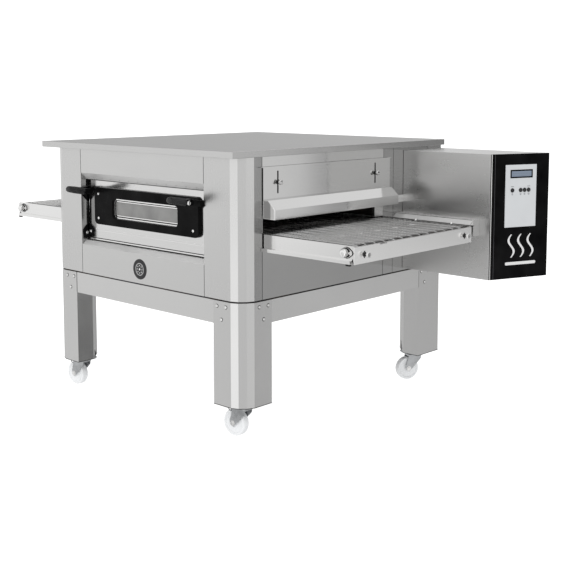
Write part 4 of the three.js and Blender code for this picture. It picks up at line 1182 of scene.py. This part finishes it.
# Painted highlight: a bright strip along the panel's near edge stands for the shine on the shell's
# edge.
mesh = bmesh.new()
panel_box(mesh, 0.2, 3.2, PANEL_LOW + 0.5, PANEL_HIGH - 0.5, -3, 0.35)
finish_piece("panel_edge_highlight", mesh, "casing", BRIGHT, 0.3)
# Painted highlight: a grey line along the panel's bend.
mesh = bmesh.new()
panel_box(mesh, 16.6, 17.8, PANEL_LOW + 1, PANEL_HIGH - 1, -0.5, 0.18)
finish_piece("panel_bend_highlight", mesh, "casing", GREY_INK_AND_HIGHLIGHT)

# Display: black bezel, recessed screen and blank segments.
LCD = (90.0, 193.5, 928.5, 957.5)
SCREEN_AREA = (LCD[0] + 4, LCD[1] - 4, LCD[2] + 3.6, LCD[3] - 3.6)
mesh = bmesh.new()
add_ring(mesh, rounded(LCD[0] - 2, LCD[1] + 2, LCD[2] - 2, LCD[3] + 2, 2),
         rounded(*SCREEN_AREA, 1), KEYPAD_FACE - 0.2, KEYPAD_FACE + 0.7, ON_PANEL)
finish_piece("display_bezel", mesh, "casing", GLOSS, 0.3)
mesh = bmesh.new()
panel_box(mesh, *SCREEN_AREA, KEYPAD_FACE - 0.1, KEYPAD_FACE + 0.25)
finish_piece("display_screen", mesh, "casing", SCREEN)
mesh = bmesh.new()
for row in (0, 1):
    for cell in range(16):
        u = LCD[0] + 9.5 + cell * 5.4
        v = LCD[2] + 7 + row * 9
        panel_box(mesh, u, u + 3.2, v, v + 0.7, KEYPAD_FACE + 0.2, KEYPAD_FACE + 0.35)
finish_piece("display_cells", mesh, "casing", GREY_INK_AND_HIGHLIGHT)

BUTTON_Z = 878.7
BUTTONS = {f"button_{i + 1}": u for i, u in enumerate((99.2, 138.8, 157.8, 177.3))}
for name, u in BUTTONS.items():
    mesh = bmesh.new()
    origin = ON_PANEL @ Vector((u, BUTTON_Z, 1.9))
    add_lathe(mesh, [(0, 0), (8.2, 0), (8.2, 2.2), (7.6, 3.2), (6.2, 3.5), (0, 3.1)], origin,
              PANEL_OUT, 32)
    cap = finish_piece(f"{name}_cap", mesh, name, RUBBER)
    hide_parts(name)

mesh = bmesh.new()
for u in BUTTONS.values():
    add_ring(mesh, circle(u, BUTTON_Z - 16, 3.4, 20), circle(u, BUTTON_Z - 16, 2.0, 20),
             KEYPAD_FACE - 0.1, KEYPAD_FACE + PRINT, ON_PANEL)
for u in (BUTTONS["button_1"], BUTTONS["button_4"]):
    panel_box(mesh, u - 7, u + 7, BUTTON_Z + 14, BUTTON_Z + 15.6, KEYPAD_FACE - 0.1,
              KEYPAD_FACE + PRINT)
finish_piece("keypad_print", mesh, "casing", GREY_INK_AND_HIGHLIGHT)

# Generic hot-surface sign in place of lettering: three wavy strokes over a bar.
mesh = bmesh.new()
SIGN_CENTRE = PANEL_LENGTH / 2 + 8
SIGN_LOW, SIGN_HIGH = 612, 704
STROKE = 11
STEPS = 28
for stroke in (-1, 0, 1):
    middle = SIGN_CENTRE + stroke * 46
    sides = ([], [])
    for i in range(STEPS + 1):
        share = i / STEPS
        v = SIGN_LOW + (SIGN_HIGH - SIGN_LOW) * share
        u = middle + 13 * math.sin(2 * math.pi * share)
        width = STROKE * (0.55 + 0.45 * math.sin(math.pi * share))
        sides[0].append((u - width / 2, v))
        sides[1].append((u + width / 2, v))
    for i in range(STEPS):
        add_prism(mesh, [sides[0][i], sides[1][i], sides[1][i + 1], sides[0][i + 1]], -0.2,
                  PRINT, ON_PANEL)
add_prism(mesh, rounded(SIGN_CENTRE - 74, SIGN_CENTRE + 74, 582, 594, 5.9), -0.2, PRINT, ON_PANEL)
bmesh.ops.remove_doubles(mesh, verts=mesh.verts[:], dist=0.001)
finish_piece("panel_sign", mesh, "casing", INK, smooth=False)


# ------------------------------------------------------------------ stage, light and camera

FLOOR_SIZE = 60.0
DOME_RADIUS = 28.0
DOME_STRENGTH = 1.15
FLOOR_GLOW = 0.92


def stage_object(name, mesh, material):
    """Part of the stage, which reflections don't see."""
    made = new_object(name, mesh, material)
    made.visible_glossy = False
    return made


def floor_material():
    material, tree = new_material("floor_pale")
    fine = noise(tree, 2, detail=2.0)
    shade = blend(tree, fine, 1, grey(0.36), grey(0.34))
    shader(tree, Base_Color=shade, Roughness=0.8, Specular_IOR_Level=0.0,
           Emission_Color=grey(1.0), Emission_Strength=FLOOR_GLOW)
    return material


def dome_material():
    material, tree = new_material("dome_white")
    emitter = add_node(tree, "ShaderNodeEmission")
    emitter.inputs["Strength"].default_value = DOME_STRENGTH
    output = add_node(tree, "ShaderNodeOutputMaterial")
    link(tree, emitter.outputs["Emission"], output.inputs["Surface"])
    material.cycles.emission_sampling = "NONE"
    return material


# The pale floor and a white dome give the even light on paint, nylon and floor. Polished
# metal shows the studio's walls instead, which the world holds.
mesh = bmesh.new()
bmesh.ops.create_grid(mesh, x_segments=1, y_segments=1, size=FLOOR_SIZE / 2)
stage_object("floor", mesh, floor_material())

mesh = bmesh.new()
bmesh.ops.create_uvsphere(mesh, u_segments=48, v_segments=24, radius=DOME_RADIUS)
stage_object("studio_dome", mesh, dome_material()).visible_shadow = False

# Brightness of the studio by direction, in degrees from +X towards +Y: low, level and high.
LOW_WALLS = ((-180, 1.00), (-162, 0.84), (-140, 0.84), (-133, 0.80), (-127, 0.55), (-118, 0.55),
             (-104, 1.20), (-92, 1.35), (-80, 1.30), (-68, 0.80), (-45, 0.76), (-15, 0.80),
             (5, 0.85), (18, 0.60), (26, 0.13), (38, 0.12), (42, 0.60), (45, 0.70), (50, 0.64),
             (60, 0.60), (80, 0.36), (100, 0.36), (130, 0.45), (165, 0.70))
LEVEL_WALLS = ((-180, 1.15), (-168, 1.00), (-150, 0.93), (-130, 0.95), (-105, 1.02),
               (-90, 1.08), (-66, 0.92), (-45, 0.85), (-15, 0.90), (5, 0.94), (30, 0.88),
               (48.3, 0.83), (48.9, 0.48), (54, 0.32), (62, 0.28), (72, 0.34), (104, 0.40),
               (110, 0.75), (150, 0.80), (168, 0.90))
CEILING = ((-180, 0.62), (-120, 0.80), (-60, 0.95), (0, 0.95), (60, 1.0), (100, 1.0),
           (135, 0.60), (160, 0.40))
LOW_EDGE = (-0.150, -0.115)         # sine of the elevation, from low to level
HIGH_EDGE = (0.20, 0.50)            # and from level to high


def wall_ramp(tree, share, levels):
    ramp = add_node(tree, "ShaderNodeValToRGB")
    link(tree, share, ramp.inputs["Fac"])
    elements = ramp.color_ramp.elements
    elements.remove(elements[-1])
    for i, (degrees, level) in enumerate(levels):
        position = (degrees + 180) / 360
        element = elements[0] if i == 0 else elements.new(position)
        element.position = position
        element.color = (level, level, level, 1)
    return ramp.outputs["Color"]


world = bpy.data.worlds.new("studio")
bpy.context.scene.world = world
world.use_nodes = True
tree = world.node_tree
direction = add_node(tree, "ShaderNodeTexCoord")
axes = add_node(tree, "ShaderNodeSeparateXYZ")
link(tree, direction.outputs["Generated"], axes.inputs["Vector"])
turn = maths(tree, "ARCTAN2", axes.outputs["Y"], axes.outputs["X"])
share = maths(tree, "ADD", maths(tree, "DIVIDE", turn, 2 * math.pi), 0.5)
walls = mixed(tree, ranged(tree, axes.outputs["Z"], 0, 1, *LOW_EDGE),
              wall_ramp(tree, share, LOW_WALLS), wall_ramp(tree, share, LEVEL_WALLS))
walls = mixed(tree, ranged(tree, axes.outputs["Z"], 0, 1, *HIGH_EDGE), walls,
              wall_ramp(tree, share, CEILING))
link(tree, walls, tree.nodes["Background"].inputs["Color"])
world.cycles_visibility.diffuse = False
world.cycles_visibility.camera = False


def area_light(name, energy, size, place, target):
    """Soft light that shapes paint and nylon and leaves the metal's reflections alone."""
    data = bpy.data.lights.new(name, "AREA")
    data.energy = energy
    data.shape = "RECTANGLE"
    data.size, data.size_y = size
    made = bpy.data.objects.new(name, data)
    made.location = place
    made.rotation_mode = "QUATERNION"
    made.rotation_quaternion = (Vector(target) - Vector(place)).to_track_quat("-Z", "Y")
    made.visible_camera = False
    made.visible_glossy = False
    bpy.context.scene.collection.objects.link(made)


area_light("key_light", 60, (3, 3), (1.2, -4.0, 3.4), (0, 0, 0.5))
bpy.context.scene.view_settings.view_transform = "Standard"

CAMERA_PLACE = at(2532.0, -2497.5, 1269.2)
CAMERA_YAW = 42.9715
CAMERA_PITCH = 6.0939
CAMERA_LENS = 64.679
CAMERA_SHIFT = -0.15
camera_data = bpy.data.cameras.new("camera")
camera_data.sensor_width = 36
camera_data.lens = CAMERA_LENS
camera_data.shift_y = CAMERA_SHIFT
camera_data.clip_start = 0.05
camera_data.clip_end = 100
camera = bpy.data.objects.new("camera", camera_data)
camera.location = CAMERA_PLACE
camera.rotation_euler = (math.radians(90 - CAMERA_PITCH), 0, math.radians(CAMERA_YAW))
bpy.context.scene.collection.objects.link(camera)
bpy.context.scene.camera = camera

bpy.context.view_layer.update()
